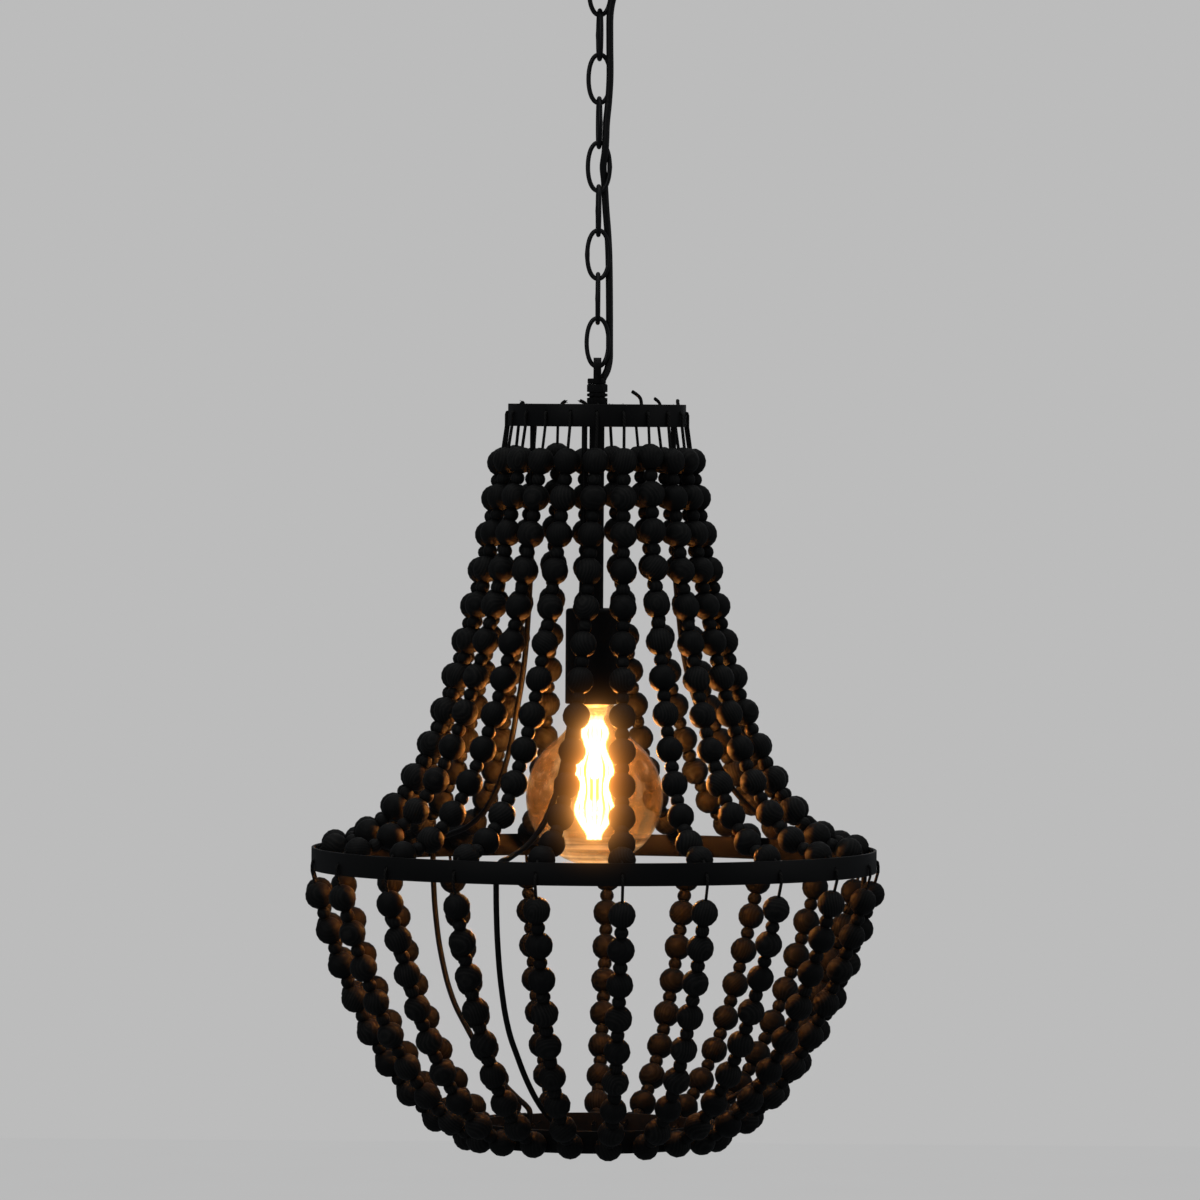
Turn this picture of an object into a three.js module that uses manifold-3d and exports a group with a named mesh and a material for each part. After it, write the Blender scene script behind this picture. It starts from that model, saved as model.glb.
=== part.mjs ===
// A beaded chandelier on a chain: three flat rings on three bent ribs, and twenty-one strings of wooden
// beads that hang as curves from the top ring to the wide hoop and on to the bottom ring, round one bulb.
// Millimetres, +Z up. The origin is on the ceiling at the middle of the bracket, and the front is -Y.
import * as THREE from 'three';
import * as BufferGeometryUtils from 'three/addons/utils/BufferGeometryUtils.js';
import Module from 'manifold-3d';

const wasm = await Module();
wasm.setup();

// Clearances and cutting
const seatGap = 0.3;
const overrun = 2;

// Ceiling fitting
const bracketLength = 84;
const bracketWidth = 24;
const bracketThickness = 2;
const bracketSlotSpacing = 66;
const bracketSlotLength = 9;
const bracketSlotWidth = 4.6;
const bossRadius = 8;
const bossDepth = 9;
const canopyRadius = 52;
const canopyDepth = 28;
const canopyWall = 1.2;
const canopyEdgeRadius = 9;
const hookStudRadius = 4;
const hookWireRadius = 1.75;
const hookInnerRadius = 6.5;
const hookMouth = 5;
const nutThickness = 5.5;
const hookNutAcrossFlats = 13;

// Chain
const linkCount = 9;
const linkLength = 36.7;
const linkWidth = 18.2;
const linkWireRadius = 1.5;
const linkSquareness = 2.3;
const linkFacets = 12;
const topLinkMiddle = -69;

// Cord and its fittings
const cordRadius = 2.5;
const cordBoreRadius = 4.1;
const glandPlace = [18, -4.6];
const glandNeckRadius = 4.8;
const glandFlangeRadius = 6.6;
const glandFlangeThickness = 2.2;
const glandTipRadius = 3.9;
const glandLength = 15;
const terminalLength = 18;
const terminalWidth = 14;
const terminalHeight = 10.6;
const terminalScrewRadius = 1.5;
const terminalScrewSpacing = 5.3;

// Loop, collar, stem and the spider that carries the top ring
const loopInnerRadius = 4.2;
const loopLegThickness = 2.6;
const loopCrownThickness = 3.2;
const loopWidth = 5.5;
const loopLegLength = 7;
const loopBaseThickness = 3.5;
const loopSlotWidth = 6.4;
const collarAcrossFlats = 12.4;
const collarLength = 15.3;
const collarMouthRadius = 5.5;
const collarMouthDepth = 6.8;
const collarChamfer = 0.8;
const collarGroove = 0.7;
const collarGrooveShares = [0.4, 0.6];
const stemRadius = 5.2;
const stemLength = 156;
const lockNutAcrossFlats = 15;
const spiderArms = 3;
const spiderThickness = 3;
const spiderArmWidth = 11;
const spiderHubRadius = 11;

// Rings
const bandHeight = 15.5;
const bandThickness = 2;
const topRingRadius = 61.7;
const hoopRadius = 196;
const bottomRingRadius = 78;
const stringHoleRadius = 1.6;
const topHoleDrop = 5.4;
const ringRiseOverSpider = 1.6;
const hoopDrop = 300;
const bottomRingDrop = 190.3;

// Ribs
const ribCount = 3;
const ribRadius = 2;
const ribTopDrop = 8.2;
const ribTwists = [-11.5, -11.5, -14.7];
const ribUpperShares = [
  [0, 0], [0.005, 0.28], [0.03, 0.43], [0.075, 0.57], [0.135, 0.66], [0.235, 0.78],
  [0.39, 0.878], [0.6, 0.939], [0.985, 0.988], [1, 1.02],
];
const ribLowerShares = [
  [1, 0.06], [0.993, 0.14], [0.965, 0.27], [0.905, 0.41], [0.79, 0.56], [0.64, 0.665],
  [0.46, 0.77], [0.27, 0.855], [0.035, 0.93], [0.0, 0.948], [0.0, 0.985],
];

// Strands of beads
const strandCount = 21;
const strandTwist = -11.5;
const bottomTurn = 2;
const stringRadius = 0.9;
const knotRadius = 1.7;
const knotLength = 2.6;
const largeBeadRadius = 9.5;
const largeBeadLength = 17.8;
const smallBeadRadius = 4.6;
const smallBeadLength = 7.6;
const beadSides = 5;
const bareString = 5;
const beadPlay = 0.8;
const edgeInset = 2.6;
const edgeRise = 0.9;
const bottomSag = 5;
const upperHang = 48.4;
const lowerHang = 69;

// Lampholder
const holderRadius = 20.75;
const holderLength = 66;
const holderWall = 1.4;
const holderShoulder = 2.4;
const holderBodyRadius = 18.6;
const holderBodyLength = 40;
const holderRimDrop = 2;
const contactDepth = 30;
const screwShellRadius = 14;
const screwShellWall = 0.5;
const screwShellLength = 24;
const contactRadius = 4;
const contactThickness = 1.6;

// Bulb
const bulbRadius = 47.5;
const bulbLength = 144;
const bulbWall = 0.9;
const bulbNeckRadius = 13.2;
const bulbShoulderAngle = 50;
const capRadius = 13.2;
const capLength = 26.5;
const capWall = 0.6;
const capTipRadius = 4.5;
const capTipLength = 3.5;
const glassStemRadius = 3.2;
const glassStemLength = 50;
const glassFlareDepth = 9.5;
const filamentWireRadius = 0.55;
const filamentBendWidth = 2;
const filamentTurns = 5;
const filamentTopRadius = 8.5;
const filamentBottomRadius = 12;
const filamentLength = 74;

const deg = Math.PI / 180;

// The middle line of a link, an oval with squared shoulders; the angle starts at its right side.
function ovalPoint(angle) {
  const power = 2 / linkSquareness;
  const halfWidth = linkWidth / 2 - linkWireRadius;
  const halfLength = linkLength / 2 - linkWireRadius;
  const across = Math.sign(Math.cos(angle)) * Math.abs(Math.cos(angle)) ** power * halfWidth;
  const up = Math.sign(Math.sin(angle)) * Math.abs(Math.sin(angle)) ** power * halfLength;
  return new THREE.Vector3(across, 0, up);
}

// How far the lowest facet of a link rises at a distance from its middle
function linkRise(distance) {
  const lowest = ovalPoint(-90 * deg);
  const next = ovalPoint(-90 * deg + (2 * Math.PI) / linkFacets);
  return (distance * (next.z - lowest.z)) / next.x;
}

// Heights, worked down from the ceiling
const canopyFloor = -canopyDepth;
const hookNutTop = canopyFloor - seatGap;
const linkPitch = linkLength - 4 * linkWireRadius - seatGap;
const bottomLinkMiddle = topLinkMiddle - (linkCount - 1) * linkPitch;
const hookLowPoint = topLinkMiddle + linkLength / 2 - 2 * linkWireRadius - seatGap - hookWireRadius;
const hookRingRadius = hookInnerRadius + hookWireRadius;
const hookRingMiddle = hookLowPoint + hookRingRadius;
const loopWire = bottomLinkMiddle - linkLength / 2 + linkWireRadius;
const loopCrownMiddle = loopWire + linkWireRadius + linkRise(loopWidth / 2) + seatGap - loopInnerRadius;
const loopBaseTop = loopCrownMiddle - loopLegLength;
const collarTop = loopBaseTop - loopBaseThickness - seatGap;
const collarBottom = collarTop - collarLength;
const stemTop = collarTop - collarMouthDepth - seatGap;
const stemBottom = stemTop - stemLength;
const spiderTop = collarBottom - seatGap;
const spiderBottom = spiderTop - spiderThickness;
const topRingTop = spiderTop + ringRiseOverSpider;
const topRingMiddle = topRingTop - bandHeight / 2;
const topHoleHeight = topRingTop - topHoleDrop;
const hoopMiddle = topRingTop - bandHeight - hoopDrop;
const bottomRingMiddle = hoopMiddle - bottomRingDrop;
const strandStep = 360 / strandCount;
const ribStep = 360 / ribCount;
const holderInnerTop = stemBottom + nutThickness + 2 * seatGap;
const holderTop = holderInnerTop + holderWall;
const holderRim = holderTop - holderLength;
const holderBodyBottom = holderRim + holderRimDrop;
const holderBodyTop = holderBodyBottom + holderBodyLength;
const contactBottom = holderBodyBottom + contactDepth;
const capTop = contactBottom - seatGap;
const capBottom = capTop - capTipLength - capLength;
const bulbBottom = capTop - bulbLength;
const bulbMiddle = bulbBottom + bulbRadius;

// Finishes
function finish(color, roughness, metalness, opacity = 1) {
  return new THREE.MeshStandardMaterial({ color, roughness, metalness, opacity, transparent: opacity < 1 });
}
const blackMetal = () => finish(0x17181a, 0.55, 0.6);
const blackSteel = () => finish(0x1c1d1f, 0.4, 0.8);
const zincSteel = () => finish(0x9a9c9e, 0.4, 0.9);
const blackPlastic = () => finish(0x141414, 0.6, 0);
const blackRubber = () => finish(0x121212, 0.65, 0);
const ceramic = () => finish(0xd8d4ca, 0.5, 0);
const brass = () => finish(0xb08d4a, 0.35, 0.9);
const amberGlass = () => finish(0xd08a3a, 0.05, 0, 0.35);
const clearGlass = () => finish(0xe8e4dc, 0.05, 0, 0.5);
const glowingWire = () => finish(0xffc070, 0.5, 0.2);
const stainedWood = () => finish(0x1d1916, 0.6, 0);

const chandelier = new THREE.Group();

// Put a closed shape into the scene under its name.
function piece(name, geometry, material) {
  const mesh = new THREE.Mesh(geometry, material);
  mesh.name = name;
  chandelier.add(mesh);
  return mesh;
}

// Solids for joining and cutting
function solidOf(geometry) {
  const bare = geometry.clone();
  bare.deleteAttribute('normal');
  bare.deleteAttribute('uv');
  const merged = BufferGeometryUtils.mergeVertices(bare, 1e-4);
  const vertProperties = new Float32Array(merged.attributes.position.array);
  const triVerts = new Uint32Array(merged.index.array);
  return new wasm.Manifold(new wasm.Mesh({ numProp: 3, vertProperties, triVerts }));
}

function geometryOf(solid) {
  const mesh = solid.getMesh();
  const geometry = new THREE.BufferGeometry();
  geometry.setAttribute('position', new THREE.BufferAttribute(new Float32Array(mesh.vertProperties), 3));
  geometry.setIndex(new THREE.BufferAttribute(new Uint32Array(mesh.triVerts), 1));
  geometry.computeVertexNormals();
  return geometry;
}

function cut(base, ...tools) {
  return geometryOf(tools.reduce((solid, tool) => solid.subtract(solidOf(tool)), solidOf(base)));
}

function join(base, ...others) {
  return geometryOf(others.reduce((solid, other) => solid.add(solidOf(other)), solidOf(base)));
}

function common(base, other) {
  return geometryOf(solidOf(base).intersect(solidOf(other)));
}

// Basic shapes that stand on the Z axis
function revolve(profile, facets = 24, turn = 0) {
  const points = profile.map(([radius, height]) => new THREE.Vector2(radius, height));
  if (THREE.ShapeUtils.area(points) < 0) points.reverse();
  if (points[0].x > 0 || points.at(-1).x > 0) points.push(points[0].clone());
  return new THREE.LatheGeometry(points, facets).rotateX(Math.PI / 2).rotateZ(turn);
}

function column(radius, bottom, top, facets = 24, turn = 0) {
  return revolve([[0, bottom], [radius, bottom], [radius, top], [0, top]], facets, turn);
}

function pipe(inner, outer, bottom, top, facets = 24) {
  return revolve([[inner, bottom], [outer, bottom], [outer, top], [inner, top]], facets);
}

function hexagon(acrossFlats, bottom, top) {
  return column(acrossFlats / 2 / Math.cos(30 * deg), bottom, top, 6, 30 * deg);
}

function block(size, middle) {
  return new THREE.BoxGeometry(...size).translate(...middle);
}

function hexNut(acrossFlats, bore, bottom, top) {
  const reach = acrossFlats / 2 / Math.cos(30 * deg);
  const chamfer = reach - acrossFlats / 2;
  const turned = revolve([
    [bore, bottom], [acrossFlats / 2, bottom], [reach, bottom + chamfer],
    [reach, top - chamfer], [acrossFlats / 2, top], [bore, top],
  ], 12);
  return common(turned, hexagon(acrossFlats, bottom - overrun, top + overrun));
}

// A place on a circle round the axis: angle 0 faces the front, and grows to the right.
function around(radius, angle, height) {
  return new THREE.Vector3(radius * Math.sin(angle * deg), -radius * Math.cos(angle * deg), height);
}

// A round bar along a curve
function bar(curve, radius, sides, steps) {
  const corners = Array.from({ length: sides }, (_, i) => {
    const angle = (2 * Math.PI * i) / sides;
    return new THREE.Vector2(radius * Math.cos(angle), radius * Math.sin(angle));
  });
  const section = new THREE.Shape(corners);
  return new THREE.ExtrudeGeometry(section, { extrudePath: curve, steps, bevelEnabled: false });
}

// A skin over rings of points with equal counts; an open run of rings gets an end face at each end.
function skin(rings, closed) {
  const sides = rings[0].length;
  const positions = rings.flat().flatMap((point) => point.toArray());
  const triangles = [];
  const spans = closed ? rings.length : rings.length - 1;
  for (let ring = 0; ring < spans; ring += 1) {
    const next = (ring + 1) % rings.length;
    for (let side = 0; side < sides; side += 1) {
      const other = (side + 1) % sides;
      const a = ring * sides + side;
      const b = ring * sides + other;
      const c = next * sides + other;
      const d = next * sides + side;
      triangles.push(a, b, c, a, c, d);
    }
  }
  if (!closed) {
    const last = (rings.length - 1) * sides;
    for (let side = 1; side < sides - 1; side += 1) {
      triangles.push(0, side + 1, side);
      triangles.push(last, last + side, last + side + 1);
    }
  }
  const geometry = new THREE.BufferGeometry();
  geometry.setAttribute('position', new THREE.Float32BufferAttribute(positions, 3));
  geometry.setIndex(triangles);
  geometry.computeVertexNormals();
  return geometry;
}

// One ring of points round a middle, square to a direction; across is a fixed sideways direction.
function ringAt(middle, along, across, radius, sides) {
  const up = new THREE.Vector3().crossVectors(along, across).normalize();
  return Array.from({ length: sides }, (_, i) => {
    const angle = (2 * Math.PI * i) / sides;
    return middle.clone()
      .addScaledVector(across, radius * Math.cos(angle))
      .addScaledVector(up, radius * Math.sin(angle));
  });
}

// A round rod with a ring of corners at each of its bends
function rod(points, across, radius, sides) {
  const rings = points.map((point, i) => {
    const before = points[Math.max(i - 1, 0)];
    const after = points[Math.min(i + 1, points.length - 1)];
    return ringAt(point, after.clone().sub(before).normalize(), across, radius, sides);
  });
  return skin(rings, false);
}

// Ceiling fitting
function buildBracket() {
  const plate = block(
    [bracketLength, bracketWidth, bracketThickness],
    [0, 0, -bracketThickness / 2],
  );
  const slots = [-1, 1].map((side) => block(
    [bracketSlotLength, bracketSlotWidth, bracketThickness + 2 * overrun],
    [side * bracketSlotSpacing / 2, 0, -bracketThickness / 2],
  ));
  const boss = column(bossRadius, -bossDepth, -bracketThickness / 2, 16);
  const thread = column(hookStudRadius + seatGap, -bossDepth - overrun, -bracketThickness - seatGap, 12);
  piece('ceiling_bracket', cut(join(plate, boss), thread, ...slots), zincSteel());
}

function buildTerminalBlock() {
  const top = -bracketThickness - seatGap;
  const housing = block(
    [terminalLength, terminalWidth, terminalHeight],
    [...glandPlace, top - terminalHeight / 2],
  );
  const screws = [-1, 0, 1].map((side) => column(terminalScrewRadius, -terminalHeight, -terminalHeight / 2, 8)
    .rotateX(Math.PI / 2)
    .translate(
      glandPlace[0] + side * terminalScrewSpacing,
      glandPlace[1] - terminalWidth,
      top - terminalHeight / 2,
    ));
  piece('terminal_block', cut(housing, ...screws), ceramic());
}

// The quarter-round edge of the cup, from its side to its floor, drawn in by a wall thickness.
function cupOutline(wall) {
  const centre = canopyRadius - canopyEdgeRadius;
  const radius = canopyEdgeRadius - wall;
  return [0, 0.5, 1].map((share) => [
    centre + radius * Math.cos(share * 90 * deg),
    canopyFloor + canopyEdgeRadius - radius * Math.sin(share * 90 * deg),
  ]);
}

function buildCanopy() {
  const rim = -2 * seatGap;
  const shell = revolve([
    [canopyRadius, rim], ...cupOutline(0), [0, canopyFloor],
    [0, canopyFloor + canopyWall], ...cupOutline(canopyWall).reverse(), [canopyRadius - canopyWall, rim],
  ], 18);
  const floorHole = (radius) => column(radius, canopyFloor - overrun, canopyFloor + canopyWall + overrun, 12);
  const studHole = floorHole(hookStudRadius + seatGap);
  const cordHole = floorHole(glandNeckRadius + seatGap).translate(...glandPlace, 0);
  piece('canopy_cup', cut(shell, studHole, cordHole), blackMetal());
}

// The stud screws up into the bracket, and the ring below it opens to the back.
function buildHook() {
  const turn = (360 * deg) - hookMouth / hookRingRadius;
  const curve = new THREE.Curve();
  curve.getPoint = (share) => new THREE.Vector3(
    0,
    hookRingRadius * Math.sin(turn * share),
    hookRingMiddle + hookRingRadius * Math.cos(turn * share),
  );
  const ring = bar(curve, hookWireRadius, 6, 12);
  const studBottom = hookRingMiddle + hookRingRadius - hookWireRadius / 2;
  const stud = column(hookStudRadius, studBottom, -bracketThickness - 2 * seatGap, 12);
  piece('ceiling_hook', join(stud, ring), blackSteel());
}

function buildHookNut() {
  const bore = hookStudRadius + seatGap;
  piece('hook_nut', hexNut(hookNutAcrossFlats, bore, hookNutTop - nutThickness, hookNutTop), blackSteel());
}

function buildGland() {
  const bore = cordRadius + seatGap;
  const flangeTop = canopyFloor - seatGap;
  const flangeBottom = flangeTop - glandFlangeThickness;
  const tip = flangeTop - glandLength;
  const body = revolve([
    [bore, tip], [glandTipRadius, tip], [glandNeckRadius, flangeBottom - glandFlangeThickness],
    [glandFlangeRadius, flangeBottom], [glandFlangeRadius, flangeTop], [glandNeckRadius, flangeTop],
    [glandNeckRadius, canopyFloor + canopyWall + glandFlangeThickness],
    [bore, canopyFloor + canopyWall + glandFlangeThickness],
  ], 12);
  piece('cord_gland', body.translate(...glandPlace, 0), blackPlastic());
}

// Chain: each link is an oval of round wire, and every second one is turned edge-on.
function linkGeometry() {
  const across = new THREE.Vector3(0, 1, 0);
  const rings = Array.from({ length: linkFacets }, (_, i) => {
    const angle = (2 * Math.PI * i) / linkFacets + 90 * deg;
    const here = ovalPoint(angle);
    const along = ovalPoint(angle + deg).sub(ovalPoint(angle - deg)).normalize();
    return ringAt(here, along, across, linkWireRadius, 6);
  });
  return skin(rings, true);
}

function buildChain() {
  for (let number = linkCount; number >= 1; number -= 1) {
    const link = piece(`chain_link_${number}`, linkGeometry(), blackSteel());
    link.position.z = bottomLinkMiddle + (number - 1) * linkPitch;
    link.rotation.z = number % 2 ? 0 : 90 * deg;
  }
}

// The cord runs from the terminal block through the gland, down beside the chain and through its
// fifth link, in at the side of the loop and down the stem to the lampholder.
const cordRoute = [
  [18, -4.6, -13.3], [18, -4.6, -30], [18, -4.6, -46], [15.2, -4.7, -58], [10.2, -4.8, -70],
  [7.2, -4.8, -84], [7.0, -4.8, -104], [7.3, -4.8, -128], [6.4, -4.8, -146], [4.9, -4.9, -160],
  [4.3, -4.8, -172], [3.9, -3.4, -181], [3.0, 0, -190.6], [3.9, 3.4, -200.2], [4.4, 4.8, -209],
  [5.2, 4.9, -221], [6.5, 4.9, -236], [7.4, 4.8, -252], [7.9, 4.8, -275], [8.2, 4.8, -300],
  [8.3, 4.7, -315], [8.2, 3.8, -324.5], [6.7, 1.8, -331.8], [4.2, 0.3, -336.6], [2.5, 0, -340.8],
  [1.2, 0, -346], [0.3, 0, -352], [0, 0, -360], [0, 0, -400], [0, 0, -460],
];

function buildCord() {
  const end = new THREE.Vector3(0, 0, holderBodyTop + seatGap);
  const points = [...cordRoute.map((place) => new THREE.Vector3(...place)), end];
  piece('power_cord', rod(points, new THREE.Vector3(0, 1, 0), cordRadius, 6), blackRubber());
}

// Loop, collar, stem and spider
function buildLoop() {
  const legOuter = loopInnerRadius + loopLegThickness;
  const outline = new THREE.Shape();
  outline.moveTo(legOuter, loopBaseTop - loopBaseThickness / 2);
  outline.lineTo(legOuter, loopCrownMiddle);
  const crownOuter = loopInnerRadius + loopCrownThickness;
  outline.absellipse(0, loopCrownMiddle, legOuter, crownOuter, 0, Math.PI, false, 0);
  outline.lineTo(-legOuter, loopBaseTop - loopBaseThickness / 2);
  outline.lineTo(-loopInnerRadius, loopBaseTop - loopBaseThickness / 2);
  outline.lineTo(-loopInnerRadius, loopCrownMiddle);
  outline.absarc(0, loopCrownMiddle, loopInnerRadius, Math.PI, 0, true);
  outline.lineTo(loopInnerRadius, loopBaseTop - loopBaseThickness / 2);
  const settings = { depth: loopWidth, bevelEnabled: false, curveSegments: 6 };
  const strap = new THREE.ExtrudeGeometry(outline, settings)
    .translate(0, 0, -loopWidth / 2)
    .rotateX(90 * deg)
    .rotateZ(90 * deg);
  const base = column(legOuter, loopBaseTop - loopBaseThickness, loopBaseTop);
  const slot = block(
    [legOuter + overrun, loopSlotWidth, loopBaseThickness + 2 * overrun],
    [(legOuter + overrun) / 2, 0, loopBaseTop - loopBaseThickness / 2],
  );
  const eye = column(loopSlotWidth / 2, loopBaseTop - loopBaseThickness - overrun, loopBaseTop + overrun, 16);
  piece('hanging_loop', cut(join(base, strap), slot, eye), blackMetal());
}

function buildCollar() {
  const flat = collarAcrossFlats / 2;
  const corner = flat / Math.cos(30 * deg);
  const grooves = collarGrooveShares.flatMap((share) => {
    const middle = collarTop - share * collarLength;
    return [[corner, middle + collarGroove], [flat - collarGroove, middle], [corner, middle - collarGroove]];
  });
  const turned = revolve([
    [collarMouthRadius, collarTop], [corner - collarChamfer, collarTop], [corner, collarTop - collarChamfer],
    ...grooves,
    [corner, collarBottom], [stemRadius + seatGap, collarBottom],
    [stemRadius + seatGap, collarTop - collarMouthDepth], [cordBoreRadius, collarTop - collarMouthDepth],
  ], 12);
  const hex = hexagon(collarAcrossFlats, collarBottom - overrun, collarTop + overrun);
  piece('collar', common(turned, hex), blackMetal());
}

function buildStem() {
  piece('stem_tube', pipe(cordBoreRadius, stemRadius, stemBottom, stemTop, 16), blackMetal());
}

// The spider's arms reach the top ring midway between string holes, over the ends of the ribs.
function buildSpider() {
  const reach = topRingRadius - bandThickness - 2 * seatGap;
  const middle = (spiderTop + spiderBottom) / 2;
  const arms = Array.from({ length: spiderArms }, (_, i) => (
    block([spiderArmWidth, reach, spiderThickness], [0, -reach / 2, middle])
      .rotateZ((-strandStep / 2 + (360 * i) / spiderArms) * deg)));
  const hub = column(spiderHubRadius, spiderBottom, spiderTop, 16);
  const bore = column(stemRadius + seatGap, spiderBottom - overrun, spiderTop + overrun, 16);
  const rim = column(reach, spiderBottom - overrun, spiderTop + overrun, 48);
  piece('top_spider', common(cut(join(hub, ...arms), bore), rim), blackMetal());
}

function buildLockNut() {
  const top = spiderBottom - seatGap;
  piece('lock_nut', hexNut(lockNutAcrossFlats, stemRadius + seatGap, top - nutThickness, top), blackSteel());
}

// Each ring is a flat band with a string hole for each strand, in the middle of a facet.
function buildRing(name, radius, top, holeHeight, firstHole, facetsPerHole) {
  const facets = strandCount * facetsPerHole;
  const corner = radius / Math.cos(Math.PI / facets);
  const band = pipe(corner - bandThickness, corner, top - bandHeight, top, facets)
    .rotateZ((firstHole + 180 / facets) * deg);
  const holes = Array.from({ length: strandCount }, (_, i) => (
    column(stringHoleRadius, -overrun, overrun + bandThickness, 4)
      .rotateX(90 * deg)
      .translate(0, bandThickness - radius, holeHeight)
      .rotateZ((firstHole + strandStep * i) * deg)));
  piece(name, cut(band, ...holes), blackMetal());
}

function buildRings() {
  buildRing('top_ring', topRingRadius, topRingTop, topHoleHeight, 0, 1);
  buildRing('mid_hoop', hoopRadius, hoopMiddle + bandHeight / 2, hoopMiddle, strandTwist, 2);
  const bottomTop = bottomRingMiddle + bandHeight / 2;
  buildRing('bottom_ring', bottomRingRadius, bottomTop, bottomRingMiddle, strandTwist + bottomTurn, 1);
}

// Each rib is one bent rod: down inside the top ring, out under the strands to the hoop, down its
// inner face, and in along the bowl to the inside of the bottom ring. It lies midway between strands.
function buildRibs() {
  const inside = (ring) => ring - bandThickness - 2 * seatGap - ribRadius;
  const top = topRingTop - ribTopDrop;
  for (let number = 0; number < ribCount; number += 1) {
    const angle = number * ribStep - strandStep / 2;
    const topEnd = around(inside(topRingRadius), angle, 0);
    const turn = around(inside(hoopRadius), angle + ribTwists[number], 0);
    const bottomEnd = around(inside(bottomRingRadius), angle + ribTwists[number], 0);
    const upper = ribUpperShares.map(([out, down]) => (
      topEnd.clone().lerp(turn, out).setZ(top + down * (hoopMiddle - top))));
    const lower = ribLowerShares.map(([out, down]) => (
      bottomEnd.clone().lerp(turn, out).setZ(hoopMiddle + down * (bottomRingMiddle - hoopMiddle))));
    const across = around(1, angle + ribTwists[number] / 2 + 90, 0);
    piece(`rib_rod_${number + 1}`, rod([...upper, ...lower], across, ribRadius, 5), blackMetal());
  }
}

// A string under its own even weight hangs as a catenary. Given its two ends and its hang, which is
// small for a slack string, this gives the place and the direction at any length along it.
function hangingString(start, end, hang) {
  const level = new THREE.Vector3(end.x - start.x, end.y - start.y, 0);
  const span = level.length();
  level.normalize();
  const rise = end.z - start.z;
  const lowest = span / 2 - hang * Math.asinh(rise / (2 * hang * Math.sinh(span / (2 * hang))));
  const startSlope = Math.sinh(-lowest / hang);
  const total = hang * (Math.sinh((span - lowest) / hang) - startSlope);
  const at = (length) => {
    const slope = startSlope + length / hang;
    const out = lowest + hang * Math.asinh(slope);
    const height = start.z + hang * (Math.sqrt(1 + slope * slope) - Math.sqrt(1 + startSlope * startSlope));
    const point = new THREE.Vector3(start.x, start.y, height).addScaledVector(level, out);
    const along = level.clone().setZ(slope).normalize();
    return { point, along };
  };
  return { total, at };
}

// The beads slide down and stack up against the string's lower end: large and small in turn.
function beadRings(string, across) {
  const pitch = largeBeadLength + smallBeadLength;
  const last = string.total - beadPlay - largeBeadLength / 2;
  const count = 1 + Math.floor((last - bareString - largeBeadLength / 2) / pitch);
  const rings = [];
  const ring = (length, radius) => {
    const { point, along } = string.at(length);
    rings.push(ringAt(point, along, across, radius, beadSides));
  };
  ring(last - (count - 1) * pitch - largeBeadLength / 2, stringRadius);
  for (let bead = count - 1; bead >= 0; bead -= 1) {
    ring(last - bead * pitch, largeBeadRadius);
    if (bead > 0) ring(last - (bead - 0.5) * pitch, smallBeadRadius);
  }
  ring(last + largeBeadLength / 2, stringRadius);
  return rings;
}

// One string from its knot inside the top ring, over the hoop's edge and out through its hole, and down
// to its knot inside the bottom ring. Where it turns in a hole its ring of corners is cut on the slant.
function strandRings(topAngle) {
  const hoopAngle = topAngle + strandTwist;
  const bottomAngle = hoopAngle + bottomTurn;
  const outside = stringRadius + seatGap;
  const face = bandThickness + seatGap;
  const at = (radius, angle, height, out, down, girth = stringRadius) => ringAt(
    around(radius, angle, height),
    around(out, angle, -down).normalize(),
    around(1, angle + 90, 0),
    girth,
    beadSides,
  );
  const upper = hangingString(
    around(topRingRadius + outside, topAngle, topRingTop - bandHeight),
    around(hoopRadius - bandThickness - edgeInset, hoopAngle, hoopMiddle + bandHeight / 2 + edgeRise),
    upperHang,
  );
  const lower = hangingString(
    around(hoopRadius + outside, hoopAngle, hoopMiddle - bandHeight / 2),
    around(bottomRingRadius + outside, bottomAngle, bottomRingMiddle - bottomSag),
    lowerHang,
  );
  const across = around(1, hoopAngle + 90, 0);
  return [
    at(topRingRadius - face - knotLength, topAngle, topHoleHeight, 1, 0, knotRadius),
    at(topRingRadius - face, topAngle, topHoleHeight, 1, 0),
    at(topRingRadius + outside, topAngle, topHoleHeight, 1, 1),
    ...beadRings(upper, across),
    at(hoopRadius - bandThickness - outside, hoopAngle, hoopMiddle, 1, 1),
    at(hoopRadius + outside, hoopAngle, hoopMiddle, 1, 1),
    at(hoopRadius + outside, hoopAngle, hoopMiddle - bandHeight / 2 - seatGap, 0, 1),
    ...beadRings(lower, across),
    at(bottomRingRadius + outside, bottomAngle, bottomRingMiddle, -1, -1),
    at(bottomRingRadius - face, bottomAngle, bottomRingMiddle, -1, 0),
    at(bottomRingRadius - face - knotLength, bottomAngle, bottomRingMiddle, -1, 0, knotRadius),
  ];
}

function buildStrands() {
  for (let number = 0; number < strandCount; number += 1) {
    const name = `strand_${String(number + 1).padStart(2, '0')}`;
    piece(name, skin(strandRings(number * strandStep), false), stainedWood());
  }
}

// Lampholder
function buildHolderCover() {
  const bore = stemRadius + seatGap;
  const inner = holderRadius - holderWall;
  const shell = revolve([
    [bore, holderTop], [holderRadius - holderShoulder, holderTop], [holderRadius, holderTop - holderShoulder],
    [holderRadius, holderRim], [inner, holderRim], [inner, holderInnerTop - holderShoulder],
    [inner - holderShoulder, holderInnerTop], [bore, holderInnerTop],
  ], 16);
  piece('lampholder_cover', shell, blackMetal());
  const nutTop = holderInnerTop - seatGap;
  piece('lampholder_nut', hexNut(lockNutAcrossFlats, bore, nutTop - nutThickness, nutTop), blackSteel());
}

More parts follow.
